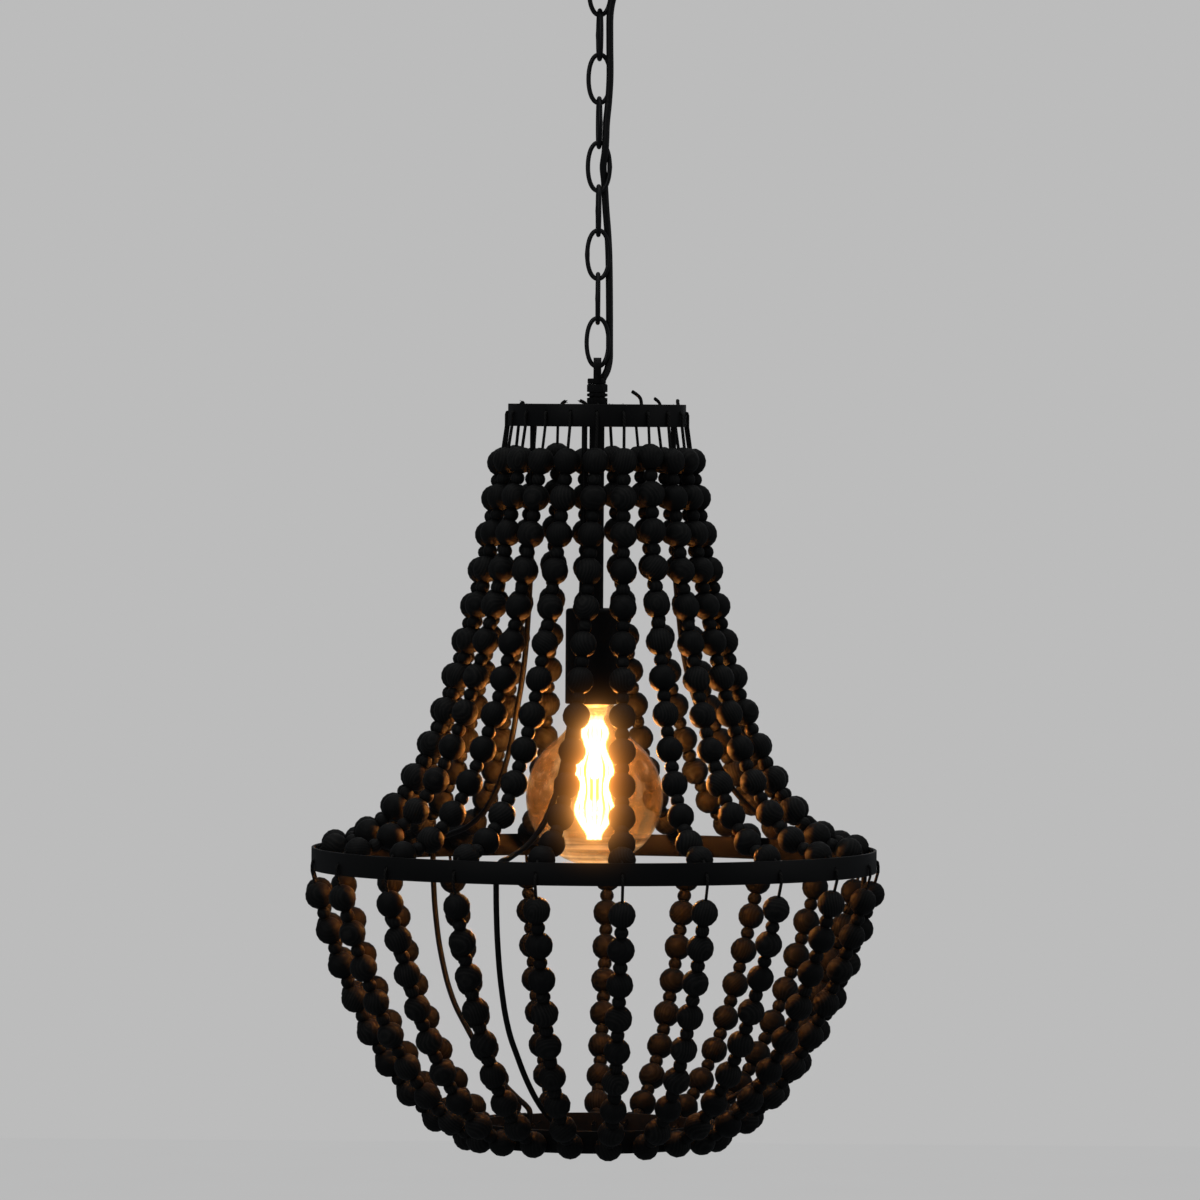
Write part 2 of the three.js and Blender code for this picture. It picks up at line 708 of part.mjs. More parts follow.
function buildHolderBody() {
  const bore = screwShellRadius + screwShellWall + seatGap;
  const contactTop = contactBottom + contactThickness;
  const body = revolve([
    [contactRadius / 2, holderBodyTop], [holderBodyRadius, holderBodyTop],
    [holderBodyRadius, holderBodyBottom], [bore, holderBodyBottom],
    [bore, contactBottom], [contactRadius + seatGap, contactBottom],
    [contactRadius + seatGap, contactTop + seatGap], [contactRadius / 2, contactTop + seatGap],
  ], 16);
  piece('lampholder_body', body, ceramic());
  const shellTop = contactBottom - seatGap;
  const shellOuter = screwShellRadius + screwShellWall;
  const shell = pipe(screwShellRadius, shellOuter, shellTop - screwShellLength, shellTop, 16);
  piece('screw_shell', shell, brass());
  piece('centre_contact', column(contactRadius, contactBottom, contactTop, 12), brass());
}

// Bulb
function buildGlobe() {
  const neckTop = capBottom - seatGap;
  const shoulder = bulbShoulderAngle * deg;
  const outline = new THREE.Path();
  const joinRadius = bulbRadius * Math.cos(shoulder);
  const joinHeight = bulbMiddle + bulbRadius * Math.sin(shoulder);
  outline.moveTo(bulbNeckRadius, neckTop);
  outline.bezierCurveTo(
    bulbNeckRadius, neckTop - bulbNeckRadius,
    joinRadius - bulbNeckRadius * Math.sin(shoulder), joinHeight + bulbNeckRadius * Math.cos(shoulder),
    joinRadius, joinHeight,
  );
  const neck = outline.getPoints(3).map((point) => [point.x, point.y]);
  const steps = 5;
  const bowl = Array.from({ length: steps }, (_, i) => {
    const angle = shoulder - ((i + 1) / steps) * (shoulder + 90 * deg);
    return [bulbRadius * Math.cos(angle), bulbMiddle + bulbRadius * Math.sin(angle)];
  });
  const outside = [...neck, ...bowl];
  outside.at(-1)[0] = 0;
  const share = (bulbRadius - bulbWall) / bulbRadius;
  const inside = outside.slice().reverse().map(([radius, height]) => (height > joinHeight
    ? [radius - bulbWall, height]
    : [radius * share, bulbMiddle + (height - bulbMiddle) * share]));
  piece('bulb_globe', revolve([...outside, ...inside], 16), amberGlass());
}

function buildBulbCap() {
  const inner = capRadius - capWall;
  const tipBottom = capTop - capTipLength;
  const cap = revolve([
    [0, capTop], [capTipRadius, capTop], [capRadius, tipBottom], [capRadius, capBottom],
    [inner, capBottom], [inner, tipBottom - capWall], [0, tipBottom - capWall],
  ], 12);
  piece('bulb_screw_cap', cap, brass());
}

function buildBulbInside() {
  const flareTop = capBottom - seatGap;
  const flareRadius = bulbNeckRadius - bulbWall - seatGap;
  const flareSlope = (glassFlareDepth - bulbWall) / (flareRadius - glassStemRadius);
  const stemEnd = flareTop - glassStemLength;
  const stem = revolve([
    [0, flareTop], [flareRadius, flareTop], [flareRadius, flareTop - bulbWall],
    [glassStemRadius, flareTop - glassFlareDepth], [glassStemRadius, stemEnd], [0, stemEnd - glassStemRadius],
  ], 12);
  piece('bulb_stem', stem, clearGlass());
  const top = stemEnd + filamentLength / 2;
  const leadInset = flareRadius - filamentTopRadius + filamentWireRadius;
  const leadTop = flareTop - bulbWall - leadInset * flareSlope - 2 * seatGap;
  const turn = 360 / (2 * filamentTurns + 2);
  const bends = Array.from({ length: 2 * filamentTurns + 1 }, (_, i) => {
    const low = i % 2;
    const radius = low ? filamentBottomRadius : filamentTopRadius;
    const halfTurn = filamentBendWidth / 2 / radius / deg;
    return [-1, 1].map((side) => [radius, i * turn + side * halfTurn, low ? top - filamentLength : top]);
  }).flat();
  const leads = [bends[0], bends.at(-1)].map(([, angle]) => [filamentTopRadius, angle, leadTop]);
  const places = [leads[0], ...bends, leads[1]];
  const points = places.map(([radius, angle, height]) => around(radius, angle, height));
  const rings = points.map((point, i) => {
    const before = points[Math.max(i - 1, 0)];
    const after = points[Math.min(i + 1, points.length - 1)];
    const outward = around(1, places[i][1], 0);
    return ringAt(point, after.clone().sub(before).normalize(), outward, filamentWireRadius, 4);
  });
  piece('filament', skin(rings, false), glowingWire());
}

buildBracket();
buildTerminalBlock();
buildCanopy();
buildHook();
buildHookNut();
buildGland();
buildChain();
buildCord();
buildLoop();
buildCollar();
buildStem();
buildSpider();
buildLockNut();
buildRings();
buildRibs();
buildHolderCover();
buildHolderBody();
buildGlobe();
buildBulbCap();
buildBulbInside();
buildStrands();

export default chandelier;
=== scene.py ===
import math
import random
import bpy
from mathutils import Matrix, Quaternion, Vector


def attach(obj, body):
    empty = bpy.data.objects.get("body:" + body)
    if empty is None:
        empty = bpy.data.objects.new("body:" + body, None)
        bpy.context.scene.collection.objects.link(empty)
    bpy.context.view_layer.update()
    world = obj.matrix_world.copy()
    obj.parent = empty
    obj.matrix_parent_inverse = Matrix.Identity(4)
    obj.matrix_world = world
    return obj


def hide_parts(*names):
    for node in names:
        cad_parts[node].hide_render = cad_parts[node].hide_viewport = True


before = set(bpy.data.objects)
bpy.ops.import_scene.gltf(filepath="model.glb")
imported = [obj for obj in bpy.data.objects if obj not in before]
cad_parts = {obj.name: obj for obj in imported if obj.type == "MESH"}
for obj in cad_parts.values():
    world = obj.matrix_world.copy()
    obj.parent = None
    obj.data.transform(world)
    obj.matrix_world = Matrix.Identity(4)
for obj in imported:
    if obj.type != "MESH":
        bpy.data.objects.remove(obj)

for leftover in ("Cube", "Light", "Camera"):
    if leftover in bpy.data.objects:
        bpy.data.objects.remove(bpy.data.objects[leftover])
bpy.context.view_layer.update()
mm = 0.001
random.seed(21)
print("stage: frame loaded")


# ---- camera
cameraLook = {
    "distance": 6000, "eyeHeight": -347.2, "focalPixels": 8658, "framePixels": 1200,
    "pitch": 1.37, "roll": 0.4, "shiftPixels": 4.2, "sensor": 36, "clipMetres": 100,
}


def addCamera():
    k = cameraLook
    bpy.ops.object.camera_add()
    camera = bpy.context.object
    camera.name = "studioCamera"
    camera.data.sensor_width = k["sensor"]
    camera.data.lens = k["sensor"] * k["focalPixels"] / k["framePixels"]
    camera.data.shift_x = k["shiftPixels"] / k["framePixels"]
    camera.data.clip_end = k["clipMetres"]
    pitch, roll = math.radians(k["pitch"]), math.radians(k["roll"])
    ahead = Vector((0, math.cos(pitch), -math.sin(pitch)))
    level = Vector((1, 0, 0))
    above = Vector((0, math.sin(pitch), math.cos(pitch)))
    right = level * math.cos(roll) + above * math.sin(roll)
    up = above * math.cos(roll) - level * math.sin(roll)
    turn = Matrix((right, up, -ahead)).transposed().to_4x4()
    place = Vector((0, -k["distance"], k["eyeHeight"])) * mm
    camera.matrix_world = Matrix.Translation(place) @ turn
    bpy.context.scene.camera = camera


addCamera()
print("stage: camera")


# ---- small helpers for working by hand
def pick(*pieces):
    bpy.ops.object.select_all(action="DESELECT")
    for piece in pieces:
        piece.select_set(True)
    bpy.context.view_layer.objects.active = pieces[0]
    return pieces[0]


def bakePlace(piece):
    pick(piece)
    bpy.ops.object.transform_apply(location=True, rotation=True, scale=True)
    return piece


def joinPieces(name, pieces):
    whole = pick(*pieces)
    bpy.ops.object.join()
    whole.name = whole.data.name = name
    return whole


def copyPiece(piece):
    copy = piece.copy()
    copy.data = piece.data.copy()
    bpy.context.scene.collection.objects.link(copy)
    return copy


def applyModifier(piece, kind, **settings):
    pick(piece)
    modifier = piece.modifiers.new(kind.title(), kind)
    for key, value in settings.items():
        setattr(modifier, key, value)
    bpy.ops.object.modifier_apply(modifier=modifier.name)
    return piece


# Merges the points that meet in the active mesh. Slivers go and faces turn outwards where asked.
def mend(gap=1e-6, sliver=None, outwards=True):
    bpy.ops.object.mode_set(mode="EDIT")
    bpy.ops.mesh.select_all(action="SELECT")
    bpy.ops.mesh.remove_doubles(threshold=gap)
    if sliver:
        bpy.ops.mesh.dissolve_degenerate(threshold=sliver)
    if outwards:
        bpy.ops.mesh.normals_make_consistent(inside=False)
    bpy.ops.object.mode_set(mode="OBJECT")


def combine(piece, tool, operation="DIFFERENCE"):
    bakePlace(piece)
    bakePlace(tool)
    applyModifier(piece, "BOOLEAN", object=tool, operation=operation, solver="EXACT")
    bpy.data.objects.remove(tool)
    mend(4e-6, 2e-6, outwards=False)
    return piece


def smooth(piece, degrees=35):
    pick(piece)
    bpy.ops.object.shade_smooth_by_angle(angle=math.radians(degrees))
    return piece


def softenEdges(piece, width, segments=2, degrees=40):
    return applyModifier(
        piece, "BEVEL", width=width * mm, segments=segments, limit_method="ANGLE",
        angle_limit=math.radians(degrees), harden_normals=False,
    )


# A blank to cut from or with: its size is in millimetres and its place in metres.
def peg(radius, depth, place=(0, 0, 0), sides=40, turn=(0, 0, 0)):
    bpy.ops.mesh.primitive_cylinder_add(
        vertices=sides, radius=radius * mm, depth=depth * mm, location=place, rotation=turn,
    )
    return bpy.context.object


def block(size, place=(0, 0, 0), turn=(0, 0, 0)):
    bpy.ops.mesh.primitive_cube_add(
        size=1, location=place, scale=[side * mm for side in size], rotation=turn,
    )
    return bakePlace(bpy.context.object)


# Gives a piece its name, body and finish, and hides the plain solids that it stands for.
def settle(piece, name, body, slotName, *nodes):
    bakePlace(piece)
    piece.name = piece.data.name = name
    if slotName in finishes:
        piece.data.materials.clear()
        piece.data.materials.append(finishes[slotName])
    if nodes:
        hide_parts(*nodes)
    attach(piece, body)


# How rubbed each point is, from 0 to 1, for the steel's shader.
def wear(piece, howRubbed):
    worn = piece.data.attributes.new("worn", "FLOAT", "POINT")
    for vertex in piece.data.vertices:
        worn.data[vertex.index].value = howRubbed(vertex.co / mm)


# A place on a circle round the axis: angle 0 faces the front and grows to the right.
def around(radius, angle, height=0.0):
    turn = math.radians(angle)
    return Vector((radius * math.sin(turn), -radius * math.cos(turn), height))


# Draws a profile of (radius, height) point by point, then spins it round the Z axis.
def turned(profile, steps=48):
    bpy.ops.mesh.primitive_plane_add(size=mm)
    piece = bpy.context.object
    bpy.ops.object.mode_set(mode="EDIT")
    bpy.ops.mesh.select_all(action="SELECT")
    bpy.ops.mesh.merge(type="CENTER")
    here = Vector((profile[0][0], 0, profile[0][1])) * mm
    bpy.ops.transform.translate(value=here)
    for radius, height in profile[1:]:
        there = Vector((radius, 0, height)) * mm
        bpy.ops.mesh.extrude_vertices_move(TRANSFORM_OT_translate={"value": there - here})
        here = there
    bpy.ops.mesh.select_all(action="SELECT")
    bpy.ops.mesh.spin(steps=steps, angle=2 * math.pi, center=(0, 0, 0), axis=(0, 0, 1))
    bpy.ops.mesh.select_all(action="SELECT")
    bpy.ops.mesh.remove_doubles(threshold=2e-6)
    bpy.ops.mesh.dissolve_degenerate(threshold=1e-6)
    bpy.ops.mesh.delete_loose()
    bpy.ops.mesh.select_all(action="SELECT")
    bpy.ops.mesh.normals_make_consistent(inside=False)
    bpy.ops.object.mode_set(mode="OBJECT")
    return piece


# A rounded corner of a profile, as points on part of a circle.
def quarter(middle, radius, first, last, steps=6):
    angles = [math.radians(first + (last - first) * step / steps) for step in range(steps + 1)]
    return [(middle[0] + radius * math.cos(a), middle[1] + radius * math.sin(a)) for a in angles]


# Points straight up a profile, in even rows that a thread can be cut into.
def upright(radius, low, high, rows):
    return [(radius, low + (high - low) * i / rows) for i in range(rows + 1)]


# Pushes a turned surface in and out along a screw line between two heights.
def cutThread(piece, pitch, depth, low, high):
    for vertex in piece.data.vertices:
        x, y, z = vertex.co
        height = z / mm
        if low < height < high:
            fade = min(1.0, (height - low) / pitch, (high - height) / pitch)
            wave = math.sin(2 * math.pi * (height / pitch + math.atan2(y, x) / (2 * math.pi)))
            radius = math.hypot(x, y)
            share = (radius + depth * mm * fade * wave) / radius
            vertex.co = (x * share, y * share, z)


# A six-sided bar turned to a profile, such as a nut or a coupling, with bores of (radius, bottom, top).
def turnedHexagon(acrossFlats, profile, bores):
    low = min(height for _, height in profile)
    high = max(height for _, height in profile)
    blank = turned([(0, low), *profile, (0, high)])
    reach = acrossFlats / 2 / math.cos(math.radians(30))
    middle = (0, 0, (low + high) / 2 * mm)
    combine(blank, peg(reach, high - low + 4, middle, 6, (0, 0, math.radians(30))), "INTERSECT")
    for radius, bottom, top in bores:
        combine(blank, peg(radius, top - bottom, (0, 0, (top + bottom) / 2 * mm), 48))
    return blank


# An empty curve of round section, for bars and strings.
def roundCurve(radius, roundness):
    bpy.ops.curve.primitive_bezier_curve_add()
    curve = bpy.context.object.data
    curve.splines.clear()
    curve.bevel_depth = radius
    curve.bevel_resolution = roundness
    curve.use_fill_caps = True
    return curve


# A round bar bent through points.
def bentRod(points, radius, resolution, roundness):
    line = roundCurve(radius, roundness).splines.new("BEZIER")
    line.bezier_points.add(len(points) - 1)
    for knot, point in zip(line.bezier_points, points):
        knot.co = point
        knot.handle_left_type = knot.handle_right_type = "AUTO"
    line.resolution_u = resolution
    bpy.ops.object.convert(target="MESH")
    mend()
    return bpy.context.object


# A string or cord through the points of each line. In its UV map U counts millimetres along the
# first line, and V goes round.
def cordTube(name, lines, radius, roundness=1, taper=None):
    curve = roundCurve(radius, roundness)
    for points in lines:
        line = curve.splines.new("POLY")
        line.points.add(len(points) - 1)
        for i, (knot, point) in enumerate(zip(line.points, points)):
            knot.co = (*point, 1)
            knot.radius = taper(i / (len(points) - 1)) if taper else 1
    bpy.ops.object.convert(target="MESH")
    tube = bpy.context.object
    tube.name = name
    lengths = [0.0]
    for before, after in zip(lines[0], lines[0][1:]):
        lengths.append(lengths[-1] + (after - before).length / mm)
    for mark in tube.data.uv_layers[0].data:
        if len(lines) == 1:
            mark.uv.x = lengths[round(mark.uv.x * (len(lengths) - 1))]
        else:
            mark.uv.x *= lengths[-1]
    mend()
    return tube


def lineLength(points):
    return sum((b - a).length for a, b in zip(points, points[1:]))


# A smooth line through a few given points.
def smoothLine(places, steps=20):
    dense = []
    for i in range(len(places) - 1):
        before = places[max(i - 1, 0)]
        a, b = places[i], places[i + 1]
        after = places[min(i + 2, len(places) - 1)]
        for step in range(steps):
            t = step / steps
            dense.append(0.5 * (
                2 * a + (b - before) * t + (2 * before - 5 * a + 4 * b - after) * t ** 2
                + (3 * a - before - 3 * b + after) * t ** 3
            ))
    return [*dense, places[-1]]


# The same line in a number of even steps.
def evenLine(dense, count):
    total = lineLength(dense)
    line, walked, mark = [dense[0]], 0.0, 1
    for a, b in zip(dense, dense[1:]):
        reach = (b - a).length
        while mark < count and walked + reach >= total * mark / count:
            line.append(a.lerp(b, (total * mark / count - walked) / reach))
            mark += 1
        walked += reach
    return [*line, dense[-1]]


# ---- materials
# A wire is one output in a shader tree; sums and products of wires add Math nodes.
class Wire:
    def __init__(self, tree, socket=None):
        self.tree = tree
        self.socket = socket

    def node(self, kind, settings=None, sockets=None, output=0):
        made = self.tree.nodes.new(kind)
        for key, value in (settings or {}).items():
            if key == "stops":
                elements = made.color_ramp.elements
                while len(elements) < len(value):
                    elements.new(0.5)
                for element, (position, colour) in zip(elements, value):
                    element.position = position
                    element.color = opaque(colour)
            else:
                setattr(made, key, value)
        for key, value in (sockets or {}).items():
            if isinstance(value, Wire):
                self.tree.links.new(value.socket, made.inputs[key])
            else:
                made.inputs[key].default_value = value
        return Wire(self.tree, made.outputs[output])

    def maths(self, operation, *values):
        return self.node("ShaderNodeMath", {"operation": operation}, dict(enumerate(values)))

    def __add__(self, other):
        return self.maths("ADD", self, other)

    def __mul__(self, other):
        return self.maths("MULTIPLY", self, other)

    def __sub__(self, other):
        return self.maths("SUBTRACT", self, other)

    __radd__ = __add__


def opaque(colour):
    return (*colour, 1)


def grey(value):
    return (value, value, value, 1)


def newMaterial(name, **numbers):
    material = bpy.data.materials.new(name)
    material.use_nodes = True
    shader = material.node_tree.nodes["Principled BSDF"]
    for key, value in numbers.items():
        shader.inputs[key.replace("_", " ")].default_value = value
    return material, Wire(material.node_tree)


# Feeds the shader its colour, roughness and bump, and any other wires by name.
def finish(material, colour=None, roughness=None, normal=None, **others):
    shader = material.node_tree.nodes["Principled BSDF"]
    wires = {"Base_Color": colour, "Roughness": roughness, "Normal": normal, **others}
    for key, wire in wires.items():
        if wire:
            wire.tree.links.new(wire.socket, shader.inputs[key.replace("_", " ")])
    return material


def objectPlace(w):
    return w.node("ShaderNodeTexCoord", output="Object")


def attribute(w, name, output="Fac"):
    return w.node("ShaderNodeAttribute", {"attribute_name": name}, output=output)


def noise(w, place, scale, detail=3.0, roughness=0.5, stretch=None):
    if stretch:
        place = w.node("ShaderNodeMapping", None, {"Vector": place, "Scale": stretch})
    return w.node("ShaderNodeTexNoise", None, {
        "Vector": place, "Scale": scale, "Detail": detail, "Roughness": roughness,
    }, "Fac")


def ramp(w, value, *stops):
    return w.node("ShaderNodeValToRGB", {"stops": stops}, {"Fac": value})


def spread(w, value, low, high, first=0.3, last=0.7):
    return w.node("ShaderNodeMapRange", None, {
        "Value": value, "From Min": first, "From Max": last, "To Min": low, "To Max": high,
    })


def mixColours(w, share, first, second):
    return w.node("ShaderNodeMix", {"data_type": "RGBA"}, {0: share, 6: first, 7: second}, 2)


def bump(w, height, strength, distance):
    return w.node("ShaderNodeBump", None, {"Height": height, "Strength": strength, "Distance": distance})


def makePowderCoat():
    material, w = newMaterial("powderCoat", Metallic=0.0, Specular_IOR_Level=0.2)
    place = objectPlace(w)
    cloud = noise(w, place, 14, 4)
    grainy = noise(w, place, 1500, 2, 0.6)
    colour = ramp(w, cloud, (0.3, (0.0066, 0.0066, 0.0070)), (0.7, (0.0098, 0.0096, 0.0098)))
    dull = spread(w, cloud + grainy * 0.25, 0.46, 0.60, 0.4, 0.8)
    return finish(material, colour, dull, bump(w, grainy, 0.16, 0.00012))


def makeBlackSteel():
    material, w = newMaterial("blackenedSteel", Specular_IOR_Level=0.5)
    place = objectPlace(w)
    cloud = noise(w, place, 60, 4, 0.6)
    scuffs = noise(w, place, 700, 3, 0.6)
    rubbed = w.node("ShaderNodeClamp", None, {"Value": attribute(w, "worn") * spread(w, scuffs, 0.2, 1.3)})
    dark = ramp(w, cloud, (0.3, (0.010, 0.0105, 0.0115)), (0.72, (0.022, 0.022, 0.024)))
    return finish(
        material, mixColours(w, rubbed, dark, (0.16, 0.155, 0.15, 1)),
        spread(w, cloud, 0.30, 0.46) - rubbed * 0.08, bump(w, scuffs, 0.10, 0.0001),
        Metallic=0.35 + rubbed * 0.6,
    )


def makeCordSheath():
    material, w = newMaterial("cordSheath", Specular_IOR_Level=0.4)
    place = objectPlace(w)
    cloud = noise(w, place, 40, 3)
    colour = ramp(w, cloud, (0.3, (0.0075, 0.0075, 0.008)), (0.7, (0.0115, 0.0115, 0.012)))
    return finish(
        material, colour, spread(w, cloud, 0.46, 0.60), bump(w, noise(w, place, 2200, 2), 0.12, 0.00008),
    )


def makeBlackPlastic():
    material, w = newMaterial("blackPlastic", Specular_IOR_Level=0.45)
    place = objectPlace(w)
    fine = noise(w, place, 1800, 2)
    colour = ramp(w, noise(w, place, 30, 3), (0.3, (0.008, 0.008, 0.008)), (0.7, (0.013, 0.013, 0.013)))
    return finish(material, colour, spread(w, fine, 0.45, 0.62), bump(w, fine, 0.15, 0.0001))


def makeCeramic():
    material, w = newMaterial("glazedPorcelain", Coat_Weight=0.7, Coat_Roughness=0.12)
    place = objectPlace(w)
    cloud = noise(w, place, 35, 4)
    specks = spread(w, noise(w, place, 900, 2), 0, 0.5, 0.68, 0.75)
    tone = mixColours(w, cloud, (0.78, 0.76, 0.71, 1), (0.68, 0.65, 0.59, 1))
    return finish(
        material, mixColours(w, specks, tone, (0.35, 0.30, 0.24, 1)),
        spread(w, cloud, 0.28, 0.42), bump(w, cloud, 0.08, 0.0004),
    )


def makeBrass():
    material, w = newMaterial("contactBrass", Metallic=1.0)
    place = objectPlace(w)
    tarnish = noise(w, place, 120, 4, 0.6)
    lines = noise(w, place, 900, 2, 0.5, (1, 1, 0.1))
    return finish(
        material, ramp(w, tarnish, (0.35, (0.62, 0.43, 0.16)), (0.75, (0.36, 0.23, 0.08))),
        spread(w, tarnish + lines * 0.3, 0.22, 0.42, 0.4, 0.9), bump(w, lines, 0.08, 0.0001),
    )


def makeZinc():
    material, w = newMaterial("platedZinc", Metallic=0.95)
    place = objectPlace(w)
    spangle = w.node("ShaderNodeTexVoronoi", None, {"Vector": place, "Scale": 180}, "Color")
    tone = w.node("ShaderNodeRGBToBW", None, {"Color": spangle})
    streaks = noise(w, place, 400, 3, 0.5, (0.2, 1, 1))
    return finish(
        material, ramp(w, tone * 0.6 + streaks * 0.4, (0.2, (0.42, 0.43, 0.44)), (0.8, (0.62, 0.63, 0.64))),
        spread(w, tone, 0.28, 0.45, 0.0, 1.0), bump(w, streaks, 0.08, 0.0001),
    )


# The stained beads read their own grain from an attribute: each is cut from a different bit of wood.
def makeStainedWood():
    material, w = newMaterial("stainedWood", Specular_IOR_Level=0.16)
    grain = attribute(w, "grainPlace", "Vector")
    rings = w.node("ShaderNodeTexWave", {"wave_type": "RINGS", "rings_direction": "Z"}, {
        "Vector": grain, "Scale": 0.16, "Distortion": 3.2, "Detail": 2.5, "Detail Scale": 0.35,
    }, "Fac")
    fibres = noise(w, grain, 0.9, 4, 0.6, (3.2, 3.2, 0.35))
    pores = noise(w, grain, 2.4, 2, 0.5, (3.0, 3.0, 0.3))
    streak = rings * 0.45 + fibres * 0.55
    stained = ramp(
        w, streak, (0.25, (0.0098, 0.0103, 0.0104)), (0.62, (0.0180, 0.0182, 0.0177)),
        (0.9, (0.036, 0.034, 0.031)),
    )
    darker = mixColours(w, attribute(w, "beadTone"), stained, (0.0100, 0.0104, 0.0105, 1))
    opened = spread(w, pores, 0, 1, 0.60, 0.68)
    return finish(
        material, mixColours(w, opened, darker, (0.005, 0.0046, 0.0044, 1)),
        spread(w, fibres, 0.52, 0.68), bump(w, streak * 0.6 - opened * 0.7, 0.35, 0.00022),
    )


# Twisted cotton: the UV map's U counts millimetres along the string and V goes round it.
def makeTwine():
    material, w = newMaterial("waxedTwine", Specular_IOR_Level=0.25)
    flat = w.node("ShaderNodeUVMap", {"uv_map": "UVMap"})
    along = w.node("ShaderNodeSeparateXYZ", None, {0: flat})
    turn = Wire(w.tree, along.socket.node.outputs[1])
    plies = w.maths("SINE", (turn * 3 + along * 0.42) * (2 * math.pi)) * 0.5 + 0.5
    fuzz = noise(w, objectPlace(w), 2600, 3, 0.6)
    tone = plies * 0.6 + fuzz * 0.4
    return finish(
        material, ramp(w, tone, (0.2, (0.006, 0.0057, 0.0055)), (0.85, (0.022, 0.021, 0.020))),
        spread(w, fuzz, 0.66, 0.80), bump(w, plies * 0.8 + fuzz * 0.4, 0.7, 0.0004),
    )


# Tinted glass lets light through in amber, mirrors a little, and has smoky streaks. Its emission is painted
# light: the streaks glow as if lit by the filament, a painted highlight runs round its edge, and bands of
# painted light lie low down.
def makeAmberGlass():
    material, w = newMaterial(
        "amberGlass", IOR=1.45, Emission_Strength=1.0, Specular_IOR_Level=1.0, Coat_Weight=1.0,
        Coat_Roughness=0.03,
    )
    place = objectPlace(w)
    height = w.node("ShaderNodeSeparateXYZ", None, {0: place}, 2)
    smoke = noise(w, place, 75, 5, 0.6)
    wisps = noise(w, place, 30, 5, 0.62, (1.0, 1.0, 0.4)) * 0.6 + smoke * 0.4
    # painted highlight: the glass glows brighter along its grazing edge
    edge = w.node("ShaderNodeLayerWeight", None, {"Blend": 0.5}, "Facing")
    rim = spread(w, edge, 0, 1, 0.93, 0.99)
    # painted light: bright bands on the low part of the globe
    low = spread(w, height, 1, 0, -0.673, -0.648)
    paintedLightBands = noise(w, place, 22, 3, 0.5, (0.5, 0.5, 16))
    tint = ramp(w, wisps, (0.38, (0.014, 0.010, 0.006)), (0.56, (0.040, 0.030, 0.017)),
                (0.68, (0.12, 0.098, 0.060)))
    # painted light: the smoky streaks glow as if lit by the filament inside
    glow = ramp(w, wisps, (0.40, (0.018, 0.010, 0.003)), (0.54, (0.085, 0.052, 0.020)),
                (0.68, (0.56, 0.40, 0.21)))
    paintedEdgeAndStreakLight = mixColours(w, rim, glow, (0.75, 0.56, 0.36, 1))
    bright = mixColours(w, low * spread(w, paintedLightBands, 0.1, 1, 0.42, 0.62), paintedEdgeAndStreakLight, (1.5, 0.92, 0.42, 1))
    finish(material, tint, spread(w, smoke, 0.03, 0.12), Emission_Color=bright)
    clear = w.node("ShaderNodeBsdfTransparent", None, {"Color": (0.90, 0.785, 0.60, 1)})
    share = spread(w, wisps, 0.24, 0.46, 0.40, 0.70) + rim * 0.3
    glass = Wire(w.tree, w.tree.nodes["Principled BSDF"].outputs[0])
    both = w.node("ShaderNodeMixShader", None, {0: share, 1: clear, 2: glass})
    w.tree.links.new(both.socket, w.tree.nodes["Material Output"].inputs["Surface"])
    return material


# Clear glass for the bulb's stem. Its emission is painted light: the stem glows as if lit by the filament
# beside it, brightest where the glass is milky.
def makeClearGlass():
    material, w = newMaterial(
        "clearGlass", Coat_Weight=1.0, Coat_Roughness=0.02, IOR=1.45, Emission_Strength=1.0,
    )
    milky = noise(w, objectPlace(w), 60, 3, 0.5, (0.4, 0.4, 9))
    return finish(
        material, ramp(w, milky, (0.3, (0.80, 0.66, 0.45)), (0.7, (0.92, 0.82, 0.64))),
        spread(w, milky, 0.05, 0.15), Alpha=spread(w, milky, 0.35, 0.55),
        Emission_Color=ramp(w, milky, (0.3, (0.62, 0.48, 0.26)), (0.7, (1.5, 1.25, 0.85))),
    )


def makeFilament():
    material, w = newMaterial(
        "glowingFilament", Emission_Strength=18.0, Base_Color=(1.0, 0.62, 0.28, 1), Roughness=0.5,
    )
    heat = noise(w, objectPlace(w), 60, 2)
    glow = ramp(w, heat, (0.3, (1.0, 0.60, 0.22)), (0.7, (1.0, 0.72, 0.36)))
    return finish(material, Emission_Color=glow)


# the finish of each slot; the strands bring their own wood and twine
finishes = {
    "black_coat": makePowderCoat(),
    "black_steel": makeBlackSteel(),
    "cord_sheath": makeCordSheath(),
    "black_plastic": makeBlackPlastic(),
    "ceramic": makeCeramic(),
    "contact_brass": makeBrass(),
    "ceiling_zinc": makeZinc(),
    "amber_glass": makeAmberGlass(),
    "clear_glass": makeClearGlass(),
    "filament_wire": makeFilament(),
}
stainedWood = makeStainedWood()
twine = makeTwine()
print("stage: materials")


